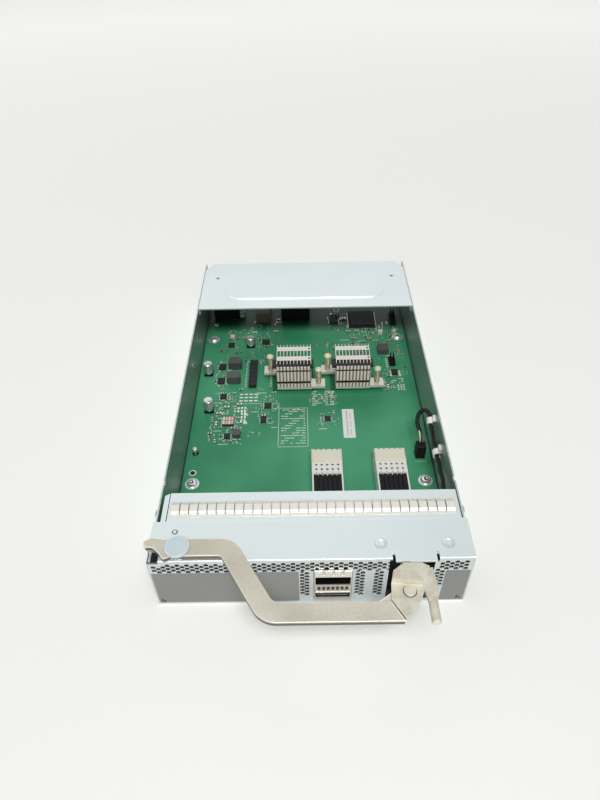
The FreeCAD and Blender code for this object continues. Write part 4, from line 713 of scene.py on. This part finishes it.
# %% Hole edges
LONGEST_SIDE, WIDEST_REACH, IN_PLANE = 1.3 * MM, 1.2 * MM, 2e-5
EDGE_INSIDE, EDGE_OUTSIDE, EDGE_AHEAD = 0.80, 1.20, Vector((0, 0.02 * MM, 0))


def hole_middles():
    """The middle of each small hole in the panel's face, with its reach."""
    mesh, pairs = NODES["front_panel"].data, []
    keys = [tuple(round(value, 5) for value in vertex.co) for vertex in mesh.vertices]
    for wall in mesh.polygons:
        if abs(wall.normal.y) > 0.1:
            continue
        for edge in wall.edge_keys:
            first, second = (keys[i] for i in edge)
            short = 0 < (Vector(first) - Vector(second)).length < LONGEST_SIDE
            if short and all(abs(key[1] - FACE_Y) < IN_PLANE for key in (first, second)):
                pairs.append((first, second))
    found = []
    for group in joined([key for pair in pairs for key in pair], pairs):
        run = [Vector(key) for key in group]
        middle = sum(run, Vector()) / len(run)
        reach = max((spot - middle).length for spot in run)
        if len(run) == 6 and reach < WIDEST_REACH:
            found.append((middle, reach))
    return sorted(found, key=lambda hole: tuple(hole[0]))


HOLES = hole_middles()
print(len(HOLES), "punched holes in the face")


@piece(DARK_PRINT_AND_SHADE)
def hole_edges(shape):
    """A dark arc of painted shade on each hole's rim, open at the bottom where light catches it."""
    for middle, reach in HOLES:
        inner, outer = [], []
        for step in range(9):
            angle = math.radians(-60 + 37.5 * step)
            away = Vector((math.cos(angle), 0, math.sin(angle))) * reach
            inner.append(shape.verts.new(middle + away * EDGE_INSIDE - EDGE_AHEAD))
            outer.append(shape.verts.new(middle + away * EDGE_OUTSIDE - EDGE_AHEAD))
        for i in range(8):
            shape.faces.new((inner[i], inner[i + 1], outer[i + 1], outer[i]))


# %% [markdown]
# ## Marks on the flange and the latch
# The handle sweeps close above the flange, so what lies there has to be nearly flush: a pin in the
# flange's small hole, a dotted score line, and a ring round each rivet. The gap round the head of
# the latch's rivet is drawn on the lever, and so rides on the latch.

# %% Pin, score line and rings
FLANGE_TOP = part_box("front_panel")[1].z / MM
SHIELD_RISE, LATCH_HEAD, LATCH_GAP, PIN_SPOT = 3.605, 2.92, 0.34, (-67.9, 17.3)
SCORE = finish("scored_line", (0.42, 0.45, 0.47), (0.52, 0.55, 0.57), 0.3, 0.5)


@piece([TINNED, DARK_PRINT_AND_SHADE])
def stop_pin(shape):
    disc(shape, at(*PIN_SPOT, FLANGE_TOP + 0.02), 1.05, 0.12)
    disc(shape, at(*PIN_SPOT, FLANGE_TOP + 0.14), 1.05, 0.14, top=0.6)
    ring(shape, at(*PIN_SPOT, FLANGE_TOP + 0.01), 1.06, 1.45, 0.02, 1)


@piece(SCORE)
def flange_marks(shape):
    """A faint dotted score line in front of the spring strip, and a ring round each rivet."""
    for number in range(96):
        x = -69.0 + 1.45 * number
        block(shape, at(x, 28.4, FLANGE_TOP + 0.005), at(x + 0.7, 28.6, FLANGE_TOP + 0.02))
    for low, high in shells_of("bracket_rivets"):
        reach = (high.x - low.x) / 2 / MM
        ring(shape, centre(low, high, (FLANGE_TOP + 0.01) * MM), reach + 0.02, reach + 0.3, 0.02)


@piece(DARK_PRINT_AND_SHADE, body="latch")
def latch_gap(shape):
    """The dark gap round the head of the latch's rivet, drawn on the lever's shield."""
    middle = centre(*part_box("latch_rivet"), (FLANGE_TOP + SHIELD_RISE) * MM)
    ring(shape, middle, LATCH_HEAD, LATCH_HEAD + LATCH_GAP, 0.02)


# %% [markdown]
# ## White print on the board
# Boards carry outlines, polarity marks and reference letters in white ink. Letters have no place on
# a generic part, so rows of short dashes take their place, at the size and spacing that such print
# has. All of it is one mesh of very thin blocks lying on the lacquer.

# %% Board print
INK = 0.02
CHART = (-19.2, 105.4, 0.2, 141.2)
WORDS = [
    # place from the middle line and from the face, how many dashes
    (-66.0, 147.5, 4), (-64.0, 191.5, 5), (-45.0, 192.0, 6), (-35.0, 157.0, 7), (-62.0, 120.5, 5),
    (-58.0, 108.5, 6), (-46.0, 220.0, 4), (40.0, 214.0, 6), (54.0, 208.0, 5), (60.0, 196.0, 5),
    (66.0, 170.0, 4), (58.6, 95.0, 2), (27.0, 216.0, 7), (-38.0, 138.0, 5), (-24.0, 123.0, 4),
    (8.0, 121.0, 5)]


def line(shape, start, end, wide):
    """A straight line of ink between two places on the board, along X or Y."""
    (ax, ay), (bx, by) = start, end
    board_block(shape, min(ax, bx) - wide / 2, min(ay, by) - wide / 2, max(ax, bx) + wide / 2,
                max(ay, by) + wide / 2, LACQUER + INK)


def dashes(shape, x, from_front, count, pitch=1.0, long=0.6, wide=0.5, gaps=()):
    """A row of short dashes that stands in for a word of print."""
    for number in range(count):
        if number not in gaps:
            start = x + number * pitch
            line(shape, (start, from_front), (start + long, from_front), wide)


@piece(PRINT)
def board_print(shape):
    left, front, right, rear = CHART
    for start, end in (((left, front), (right, front)), ((left, rear), (right, rear)),
                       ((left, front), (left, rear)), ((right, front), (right, rear)),
                       ((-47.1, 146.2), (-19.3, 146.2)), ((-19.3, 141.2), (-19.3, 146.2))):
        line(shape, start, end, 0.3)
    draw = random.Random(5)
    for row in range(15):
        y = front + 3.0 + row * 2.25
        for column in range(13):
            diagonal = (row - column // 2) % 5 in (0, 1)
            if diagonal or row % 7 == 3 or column == 12 or draw.random() < 0.12:
                dashes(shape, left + 2.0 + 1.25 * column, y + 0.3 * draw.random(), 1,
                       long=draw.choice((0.25, 0.6)), wide=0.6)
    dashes(shape, left + 2.5, rear - 1.8, 11, 1.3, 0.7, gaps=(4, 7))
    for row in range(9):
        for x in (3.6, 12.4, 14.4):
            dashes(shape, x + draw.random(), 144.0 + 1.7 * row, draw.choice((2, 3, 4)), long=0.5)
    for x in (-2.0, 36.6):
        for y in (53.0, 58.5, 64.0):
            dashes(shape, x, y, 3, 0.8, 0.4, wide=0.7)
    for low, high in CHIP_SHELLS:
        x, y = high.x / MM + 1.4, (low.y - FACE_Y) / MM
        dashes(shape, x, y, draw.choice((2, 3)), 0.9, 0.5)
        disc(shape, off((low.x, high.y, BOARD_TOP), -0.8, 0, LACQUER), 0.3, INK, sides=10)
    for x, y, count in WORDS:
        dashes(shape, x, y, count, long=0.55)
    for y in (91.4, 101.8):
        line(shape, (67.0, y), (73.8, y), 0.2)


# %% White label
PAPER = finish("label_paper", (0.80, 0.81, 0.80), (0.85, 0.86, 0.85), 0.0, 0.55)
GREY_INK = finish("grey_print", (0.34, 0.35, 0.36), (0.42, 0.43, 0.44), 0.0, 0.6)


@piece([PAPER, GREY_INK])
def board_label(shape):
    """A plain label with two columns of thin grey bars."""
    board_block(shape, 23.6, 112.5, 31.5, 139.2, 0.12)
    for row in range(12):
        y = 115.0 + 1.9 * row
        board_block(shape, 26.2, y, 27.0, y + 1.3, 0.135, 0.12, 1)
        if row % 4 != 3:
            board_block(shape, 28.6, y, 29.2, y + 1.1, 0.135, 0.12, 1)


# %% [markdown]
# ## Solder and small parts
# A bare green plate reads as a toy: what makes a board look real is the crowd of tiny parts round
# each chip. They come in a few kinds, each a body between two tinned ends, and are scattered with a
# fixed seed inside the areas where such a board has them, never under a solid of the frame.

# %% Pads, leads and rings
LEAD_PITCH, LEAD_WIDE, LEAD_REACH, LEAD_TALL = 1.0 * MM, 0.42 * MM, 0.75 * MM, 0.22 * MM
PAD_TOP = 0.09
PAD_ROWS = [
    # place, columns and rows, pitch both ways, size of a pad
    (-47.0, 148.6, 4, 3, 3.4, 3.3, 2.4, 1.1), (-45.0, 128.6, 2, 3, 2.2, 3.4, 1.2, 2.2),
    (-60.5, 227.6, 1, 2, 2.0, 2.0, 2.6, 1.2), (-42.0, 227.2, 2, 1, 2.4, 2.0, 1.6, 1.8),
    (-57.5, 125.0, 3, 4, 1.9, 1.9, 1.0, 1.0), (-50.0, 138.0, 4, 2, 2.3, 3.2, 1.3, 1.9),
    (52.5, 162.0, 2, 4, 2.4, 2.0, 1.2, 1.0), (64.5, 158.0, 3, 3, 2.0, 2.2, 1.1, 1.1)]


def leads_round(shape, low, high):
    """A row of bent leads along each side of a chip's box."""
    foot = BOARD_TOP + LACQUER * MM
    for axis, other in ((0, 1), (1, 0)):
        length = high[other] - low[other]
        count = max(2, int(length / LEAD_PITCH))
        for number in range(count):
            middle = low[other] + length * (number + 0.5) / count
            for start, end in ((low[axis] - LEAD_REACH, low[axis]),
                               (high[axis], high[axis] + LEAD_REACH)):
                ends = [Vector((0, 0, foot)), Vector((0, 0, foot + LEAD_TALL))]
                ends[0][axis], ends[1][axis] = start, end
                ends[0][other], ends[1][other] = middle - LEAD_WIDE / 2, middle + LEAD_WIDE / 2
                block(shape, ends[0], ends[1])


@piece(SOLDER)
def solder_joints(shape):
    for low, high in CHIP_SHELLS + [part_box("big_chip")]:
        leads_round(shape, low, high)
    for low, high in shells_of("board_screws"):
        ring(shape, centre(low, high, BOARD_TOP + 0.01 * MM), 3.0, 4.4, 0.05)
    for x, y, columns, rows, pitch_x, pitch_y, wide, deep in PAD_ROWS:
        for column in range(columns):
            for row in range(rows):
                left, front = x + column * pitch_x, y + row * pitch_y
                board_block(shape, left, front, left + wide, front + deep, PAD_TOP)
    ring(shape, on_board(-71.8, 84.8, 0.01), 1.6, 2.4, 0.05)


# %% Pads of parts left off
PALE_TOP = 0.07
PALE_AREAS = [
    # left, front, right, rear, how many pads
    (-65, 134, -54, 158, 46), (-66, 164, -58, 192, 24), (-52, 120, -44, 134, 14),
    (3, 143, 10, 157, 16), (13, 143, 20, 157, 16), (60, 160, 70, 172, 16),
    (-40, 112, -30, 120, 6), (34, 222, 53, 227, 16), (-62, 226, -42, 231, 12),
    (-58, 108, -44, 113, 12), (-36, 148, -22, 158, 14)]
PALE_SIZES = ((0.6, 1.0), (1.0, 0.6), (0.5, 0.5), (1.4, 0.7))
PALE = finish("flux_pad", (0.62, 0.66, 0.50), (0.80, 0.82, 0.68), 0.1, 0.5)
PINK = finish("copper_pad", (0.62, 0.42, 0.32), (0.76, 0.56, 0.45), 0.3, 0.45)


@piece(PALE)
def pale_pads(shape):
    """Flux-toned pads of parts left off, in the places where such boards keep them."""
    draw = random.Random(23)
    for left, front, right, rear, count in PALE_AREAS:
        for _ in range(count):
            x, y = round(draw.uniform(left, right), 1), round(draw.uniform(front, rear), 1)
            wide, deep = draw.choice(PALE_SIZES)
            board_block(shape, x, y, x + wide, y + deep, PALE_TOP)
    for x in (-44.0, -26.0):
        for row in range(12):
            y = 163.6 + 2.45 * row
            board_block(shape, x, y, x + 1.0, y + 1.0, PALE_TOP)
    for row in range(5):
        y = 183.0 + 2.2 * row
        board_block(shape, 58.8, y, 60.6, y + 1.0, PALE_TOP)
    board_block(shape, -43.1, 134.6, -40.3, 137.3, 0.08)
    board_block(shape, -43.1, 126.6, -40.4, 128.8, 0.08)
    for left in (60.8, 67.0):
        board_block(shape, left, 172.6, left + 1.3, 178.6, 0.1)


@piece([PALE, PINK])
def bare_array(shape):
    """The plated array on the largest flat chip: four bars, pale and pink by turns, each in two."""
    low, high = max(CHIP_SHELLS, key=lambda shell: (shell[1] - shell[0]).x)
    span, deep = high.x - low.x, high.y - low.y
    for number in range(4):
        x = low.x + span * (0.04 + 0.24 * number)
        for row in range(2):
            y = low.y + deep * (0.06 + 0.46 * row)
            block(shape, (x, y, high.z + 0.01 * MM),
                  (x + 0.20 * span, y + 0.42 * deep, high.z + 0.06 * MM), number % 2)


# %% Small parts
KEEP_OUT = [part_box(node) for node in (
    "power_inductor_front", "power_inductor_rear", "block_capacitors", "big_chip",
    "capacitor_front", "capacitor_middle", "capacitor_rear", "pin_header_right",
    "pin_header_rear", "power_connector", "data_connector", "framed_connector", "cable_plug",
    "port_cage", "support_post", *left_right("heatsink"), *left_right("signal_connector"))]
KEEP_OUT += CHIP_SHELLS + shells_of("coils") + shells_of("board_screws")
KEEP_OUT += [(on_board(23, 112), on_board(32, 140)), (on_board(-48, 147.8), on_board(-33, 159))]
AREAS = [
    # left, front, right, rear, how many parts
    (-66, 111, -44, 133, 34), (-60, 134, -46, 157, 20), (-47, 136, -20, 158, 12),
    (-33, 126, -22, 147, 12), (-66, 160, -57, 192, 16), (-66, 195, -46, 222, 18),
    (-46, 214, -20, 244, 26), (-48, 160, -30, 162, 3), (-45, 190, -30, 210, 16),
    (8, 124, 22, 136, 12), (6, 198, 30, 214, 9), (18, 228, 34, 250, 14), (33, 208, 56, 230, 26),
    (55, 172, 73, 184, 12), (53, 192, 73, 212, 18), (56, 212, 73, 238, 18), (48, 158, 60, 166, 6),
    (-30, 158, 46, 160, 8), (2, 146, 20, 158, 10)]
KINDS = [
    # length, width, height, which finish its body has
    (1.7, 0.9, 0.5, 1), (1.7, 0.9, 0.7, 2), (1.1, 0.6, 0.4, 1), (1.1, 0.6, 0.5, 2),
    (3.0, 1.7, 1.3, 2), (2.2, 1.4, 0.9, 3)]
TRIES, MARGIN, CAP_SHARE = 12, 0.7 * MM, 0.24
RESISTOR = finish("resistor_body", (0.015, 0.015, 0.016), (0.04, 0.04, 0.042), 0.0, 0.4)
CERAMIC = finish("ceramic_body", (0.32, 0.22, 0.13), (0.42, 0.31, 0.20), 0.0, 0.45)
TANTALUM = finish("tantalum_body", (0.10, 0.045, 0.025), (0.16, 0.07, 0.035), 0.0, 0.5)


def clear_of(low, high, others):
    return all(low.x > b.x + MARGIN or high.x < a.x - MARGIN or low.y > b.y + MARGIN
               or high.y < a.y - MARGIN for a, b in others)


@piece([SOLDER, RESISTOR, CERAMIC, TANTALUM])
def small_parts(shape):
    draw, placed_parts = random.Random(11), []
    for left, front, right, rear, wanted in AREAS:
        for _ in range(wanted):
            for _ in range(TRIES):
                long, wide, tall, surface = draw.choice(KINDS)
                axis = 0 if draw.random() < 0.5 else 1
                size_x, size_y = (wide, long) if axis else (long, wide)
                x = round(draw.uniform(left, right) * 2) / 2
                y = round(draw.uniform(front, rear) * 2) / 2
                low = on_board(x - size_x / 2, y - size_y / 2, 0.05)
                high = on_board(x + size_x / 2, y + size_y / 2, tall)
                if clear_of(low, high, KEEP_OUT + placed_parts):
                    break
            else:
                continue
            placed_parts.append((low, high))
            block(shape, low, high, surface)
            cap = CAP_SHARE * (high[axis] - low[axis])
            for start, end in ((low[axis] - 0.1 * MM, low[axis] + cap),
                               (high[axis] - cap, high[axis] + 0.1 * MM)):
                a, b = Vector(low), Vector(high)
                a[axis], b[axis] = start, end
                b.z += 0.04 * MM
                block(shape, a, b)
    print(len(placed_parts), "small parts on the board")


# %% [markdown]
# ## Springs
# In the frame a spring is the sleeve that its turns fill, which suits collision. To the eye it has
# to be wire. A helix is a formula: the angle grows with the height, so a curve with a round bevel
# follows it, and the pitch is even because nothing here is compressed.

# %% Coil springs
def curve_through(name, points_of_splines, kind="POLY"):
    data = bpy.data.curves.new(name, "CURVE")
    data.dimensions = "3D"
    for points in points_of_splines:
        run = data.splines.new(kind)
        run.points.add(len(points) - 1)
        for point, spot in zip(run.points, points):
            point.co = (*spot, 1.0)
    return data


def wire(name, paths, radius, surface, body="card", smooth=2):
    """Round wire along one or more lists of points."""
    data = curve_through(name, paths)
    data.bevel_depth = radius
    data.bevel_resolution = smooth
    data.use_fill_caps = True
    return carried(name, data, surface, body)


def coil_in(node, radius, turns, steps=14):
    """A helix that fills a node's sleeve with wire of this radius."""
    low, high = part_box(node)
    middle, reach, count = centre(low, high), (high.x - low.x) / 2 - radius, int(turns * steps)
    foot, tall = low.z + radius, high.z - low.z - 2 * radius
    print(node, "has turns of radius", round(reach / MM, 2), "mm")
    return [Vector((middle.x + reach * math.cos(2 * math.pi * i / steps),
                    middle.y + reach * math.sin(2 * math.pi * i / steps),
                    foot + tall * i / count)) for i in range(count + 1)]


PIN_WIRE, PIN_TURNS, LATCH_WIRE, LATCH_TURNS = 0.28 * MM, 7.5, 0.3 * MM, 2.2
SPRING_WIRE = finish("spring_wire", (0.50, 0.43, 0.30), (0.66, 0.58, 0.44), 0.8, 0.3,
                     grain=(900, 0.08))
for number in range(1, 5):
    node = f"push_pin_spring_{number}"
    coil = wire(f"pin_coil_{number}", [coil_in(node, PIN_WIRE, PIN_TURNS)], PIN_WIRE,
                SPRING_WIRE)
    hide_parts(node)
torsion = wire("latch_coil", [coil_in("latch_spring", LATCH_WIRE, LATCH_TURNS, 20)], LATCH_WIRE,
               SPRING_WIRE, body="handle")
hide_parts("latch_spring")

# %% [markdown]
# ## The cable
# Thin coloured wires leave the plug, gather in a black sleeve, and pass two clips on the wall as
# separate black strands on their way to the switch. The route is a NURBS curve through the same
# points as the frame's cable. Its line is read back as points, and each strand winds slowly round
# that line, so the bundle never looks like a single hose.

# %% Cable
ROUTE = [(70.4, 97.2, 16.0), (70.4, 97.2, 20.4), (69.4, 103.4, 22.4), (68.9, 109.8, 21.6),
         (70.0, 114.2, 25.4), (73.4, 113.8, 29.6), (76.0, 108.6, 30.4), (76.0, 101.4, 26.8),
         (76.0, 96.0, 26.0), (76.0, 87.0, 25.6), (76.0, 72.0, 25.6), (75.7, 58.5, 26.6),
         (74.5, 45.5, 28.6), (70.0, 34.6, 30.6), (62.0, 27.4, 32.4), (53.0, 24.2, 33.6),
         (44.0, 20.6, 34.55), (44.0, 14.42, 34.55)]
SLEEVE_START, SLEEVE_END, SLEEVE_RADIUS = 8.5 * MM, 36.0 * MM, 1.32 * MM
STRAND, STRAND_OFFSET, STRAND_TURNS = 0.62 * MM, 0.72 * MM, 3.5
LEAD_WIRE, LEAD_OVERLAP, LEAD_TURNS = 0.42 * MM, 1.5 * MM, 0.3


def smooth_line(points):
    """Points along the NURBS curve that has the given control points."""
    data = curve_through("route", [points], "NURBS")
    data.resolution_u = 8
    data.splines[0].order_u = 3
    data.splines[0].use_endpoint_u = True
    holder = bpy.data.objects.new("route", data)
    mesh = bpy.data.meshes.new_from_object(holder)
    line_points = [Vector(vertex.co) for vertex in mesh.vertices]
    bpy.data.objects.remove(holder)
    bpy.data.curves.remove(data)
    bpy.data.meshes.remove(mesh)
    return line_points


def strand(line_points, offset, phase, turns):
    """A line beside another at a fixed offset, winding round it."""
    lengths = [0.0]
    for before, spot in zip(line_points, line_points[1:]):
        lengths.append(lengths[-1] + (spot - before).length)
    aside, beside = Vector((1, 0, 0)), []
    for i, spot in enumerate(line_points):
        forward = line_points[min(i + 1, len(line_points) - 1)] - line_points[max(i - 1, 0)]
        forward.normalize()
        aside = (aside - forward * aside.dot(forward)).normalized()
        angle = phase + 2 * math.pi * turns * lengths[i] / lengths[-1]
        away = aside * math.cos(angle) + forward.cross(aside) * math.sin(angle)
        beside.append(spot + away * offset)
    return beside


def part_of(line_points, start, end=math.inf):
    """The part of a line between two lengths along it."""
    kept, travelled = [], 0.0
    for before, spot in zip(line_points, line_points[1:]):
        travelled += (spot - before).length
        if start <= travelled <= end:
            kept.append(spot)
    return kept


route_line = smooth_line([at(*spot) for spot in ROUTE])
bundle = part_of(route_line, SLEEVE_START)
strands = wire("cable_strands",
               [strand(bundle, STRAND_OFFSET, 2 * math.pi * i / 3, STRAND_TURNS) for i in range(3)],
               STRAND, SLEEVE)
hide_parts("cable")
wire("cable_sleeve", [part_of(route_line, SLEEVE_START, SLEEVE_END)], SLEEVE_RADIUS, SLEEVE,
     smooth=4)
RED = finish("red_wire", (0.68, 0.10, 0.04), (0.80, 0.17, 0.08), 0.0, 0.35)
YELLOW = finish("yellow_wire", (0.80, 0.66, 0.44), (0.88, 0.76, 0.56), 0.0, 0.35)
WIRE_BLACK = finish("black_wire", (0.012, 0.012, 0.012), (0.03, 0.03, 0.03), 0.0, 0.4)
lead_in = part_of(route_line, 0.0, SLEEVE_START + LEAD_OVERLAP)
for colour, surface, offset, phase in (("red", RED, 0.80, 0.3), ("yellow", YELLOW, 0.72, 2.4),
                                       ("black", WIRE_BLACK, 0.64, 4.4)):
    wire(f"wire_{colour}", [strand(lead_in, offset * MM, phase, LEAD_TURNS)], LEAD_WIRE, surface)
length = sum((spot - before).length for before, spot in zip(route_line, route_line[1:]))
print("cable runs", round(length / MM), "mm")

# %% [markdown]
# ## Ports
# Looking into a port, one sees spring tabs pressed from the cage and the gold contacts of the
# receptacle far back. The block between the ports shows seven smoked windows for light pipes.

# %% Port details
GOLD = finish("gold_contact", (0.75, 0.50, 0.16), (0.86, 0.64, 0.28), 0.95, 0.25)
SMOKED = finish("smoked_window", (0.035, 0.022, 0.014), (0.07, 0.045, 0.03), 0.0, 0.22)
CAGE_LOW, CAGE_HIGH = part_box("port_cage")
SOCKETS_LOW, SOCKETS_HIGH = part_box("port_receptacles")


@piece(SMOKED)
def light_windows(shape):
    """Seven rounded plates, one in each window of the block."""
    low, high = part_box("port_insert")
    for number in range(-3, 4):
        x = (low.x + high.x) / 2 + number * 2.35 * MM
        block(shape, off((x, low.y, low.z), -0.78, -0.03, 1.5),
              off((x, low.y, high.z), 0.78, 1.6, -1.1), 0, 0.3)


@piece(STEEL)
def port_tabs(shape):
    """Spring tabs low on both sides of the upper port, and the lip of the lower one."""
    front, lip = CAGE_LOW.y, SOCKETS_LOW.z
    for spot in (off((CAGE_LOW.x, front, SOCKETS_HIGH.z), 3.4),
                 off((CAGE_HIGH.x, front, SOCKETS_HIGH.z), -4.6)):
        block(shape, off(spot, 0, 4.0, -6.7), off(spot, 1.5, 7.5, -6.1), 0, 0.15)
    block(shape, off((CAGE_LOW.x, front, lip), 1.4, 1.2, 0.5),
          off((CAGE_HIGH.x, front, lip), -1.4, 4.0, 0.8))


@piece(GOLD)
def port_contacts(shape):
    """A row of gold contacts in each of the two receptacles."""
    left, front = SOCKETS_LOW.x, SOCKETS_LOW.y
    for foot in (off((left, front, SOCKETS_LOW.z), 2.6, 0, 1.6),
                 off((left, front, SOCKETS_HIGH.z), 2.6, 0, -4.4)):
        for number in range(18):
            x = 0.72 * number
            block(shape, off(foot, x, -0.06), off(foot, x + 0.4, -0.01, 0.5))


# %% [markdown]
# ## Small things that catch the eye
# Screws show a dark cross and sockets are dark below their rim, both a painted shade in the
# recess, and each capacitor has a dark quarter printed on top. Such marks are thin blocks and
# plates that lie just inside or on the solid.

# %% Recesses, sockets and marks
SHADE = finish("socket_shade", (0.006, 0.006, 0.006), (0.012, 0.012, 0.012), 0.0, 0.7)


@piece(SHADE)
def cross_recesses(shape):
    for node, reach, depth in (("board_screws", 1.25, 0.9), ("rear_cover_screws", 0.85, 0.55)):
        for low, high in shells_of(node):
            middle = centre(low, high, high.z - depth * MM)
            for x, y in ((reach, 0.3), (0.3, reach)):
                block(shape, off(middle, -x, -y), off(middle, x, y, 0.12))


@piece(SHADE)
def socket_shades(shape):
    for node in left_right("signal_connector"):
        low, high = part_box(node)
        for column in range(-2, 3):
            for back in (15.8, 12.3):
                deck = off(((low.x + high.x) / 2, high.y, high.z), column * 3.3, -back, -1.7)
                disc(shape, deck, 0.74, 0.3, sides=14)


@piece(SHADE)
def can_marks(shape):
    """The dark quarter that shows a capacitor's negative side."""
    for node in ("capacitor_front", "capacitor_middle", "capacitor_rear"):
        low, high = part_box(node)
        middle = centre(low, high, high.z)
        arc = [shape.verts.new(off(middle, 2.6 * math.cos(angle), 2.6 * math.sin(angle), 0.02))
               for angle in (math.radians(250 + 10 * step) for step in range(11))]
        shape.faces.new(arc)


# %% [markdown]
# ## Heat sinks
# The folded fins are the brightest thing on the board, because each fold is a small mirror with a
# dark gap beside it. Modelled metal alone loses that rhythm in the shade, so bright bars of painted
# highlight and brown gaps and dark lines of painted shade are laid on the front faces, a black
# block lies in the notch, and the bands get creases and a dimple drawn as painted shade.

# %% Bars, black blocks and creases
SINKS = [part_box(node) for node in left_right("heatsink")]
SINK_FRONT, FIN_PITCH, FIN_SIDE = at(0, 157.5).y, 2.34, 11.9
# BARS hold the painted highlight of the folded faces; GAPS the painted shade: brown between the
# folds, dark in the low slot and brown in the one near the top.
BARS = ((2.1, 5.5), (7.7, 16.3), (17.5, 20.3))
GAPS = ((2.1, 20.3, 1), (5.7, 7.4, 2), (16.35, 17.45, 1))
CREASE = finish("band_crease", (0.42, 0.40, 0.36), (0.52, 0.50, 0.45), 0.4, 0.5)
FOLD = finish("folded_face", (1.0, 0.86, 0.79), (1.0, 0.90, 0.85), 0.0, 0.40)
GAP_BROWN = finish("fin_gap", (0.27, 0.17, 0.125), (0.38, 0.27, 0.20), 0.1, 0.5)


@piece(SHADE)
def sink_black_blocks(shape):
    """A black block that lies in the notch and passes between the fins."""
    for low, high in SINKS:
        top = ((low.x + high.x) / 2, SINK_FRONT, high.z)
        block(shape, off(top, -14.8, 1.9, -2.9), off(top, 13.5, 9.6, -0.95), 0, 0.15)


@piece([FOLD, GAP_BROWN, SHADE])
def sink_bars(shape):
    """Painted highlight on the folded faces between brown gaps of painted shade, cut by a dark line
    low down and one near the top, also painted shade.
    """
    for low, high in SINKS:
        for number in range(10):
            foot = off(((low.x + high.x) / 2, SINK_FRONT, low.z), number * FIN_PITCH - FIN_SIDE)
            for bottom, top in BARS:
                block(shape, off(foot, 0.30, -0.05, bottom), off(foot, 1.62, -0.005, top))
            for bottom, top, surface in GAPS:
                block(shape, off(foot, -0.02, -0.02 - 0.005 * surface, bottom),
                      off(foot, 2.2, -0.004, top), surface)


@piece([CREASE, SHADE])
def band_marks(shape):
    """A row of creases and one round dimple on each of the two bands, drawn as painted shade."""
    for low, high in SINKS:
        for back in (9.5, 20.0):
            band = off(((low.x + high.x) / 2, low.y, high.z), 0, back, 0.005)
            for number in range(8):
                x = 2.45 * number - 10.4
                block(shape, off(band, x, -0.09), off(band, x + 1.4, 0.09, 0.015))
            disc(shape, off(band, 10.6), 0.75, 0.02, 1, sides=14)


# %% [markdown]
# ## Loose parts near the rear
# A few parts stand apart from the scattered ones because they are larger or have their own colour:
# a white socket, two brown tantalum parts, two dark ones, three white pins and a round test point.

# %% Named small parts
BODY_WHITE = finish("white_part", (0.62, 0.62, 0.58), (0.74, 0.74, 0.70), 0.0, 0.5)
LOOSE = [
    # left, front, right, rear, top, foot, finish, bevel
    (22.6, 248.6, 27.6, 253.4, 4.0, LACQUER, 0, 0.3), (23.6, 249.4, 26.6, 252.6, 4.05, 4.0, 1, 0.0),
    (-58.8, 219.8, -54.8, 223.4, 1.6, LACQUER, 2, 0.2),
    (56.4, 221.8, 60.2, 226.2, 2.2, LACQUER, 2, 0.2),
    (68.4, 224.2, 70.6, 227.4, 1.8, LACQUER, 1, 0.2),
    (-53.0, 247.4, -48.4, 250.6, 4.6, LACQUER, 1, 0.3)]


@piece([BODY_WHITE, RESISTOR, TANTALUM])
def named_parts(shape):
    for extent in LOOSE:
        board_block(shape, *extent)
    for x in (-52.2, -50.7, -49.2):
        board_block(shape, x - 0.3, 248.7, x + 0.3, 249.3, 7.0, 4.6)
    disc(shape, on_board(-70.9, 238.0, LACQUER), 1.6, 0.6)
    disc(shape, on_board(-70.9, 238.0, 0.6), 0.8, 0.05, 1)


# %% View transform
view = bpy.context.scene.view_settings
view.view_transform = "Standard"
bpy.context.view_layer.update()
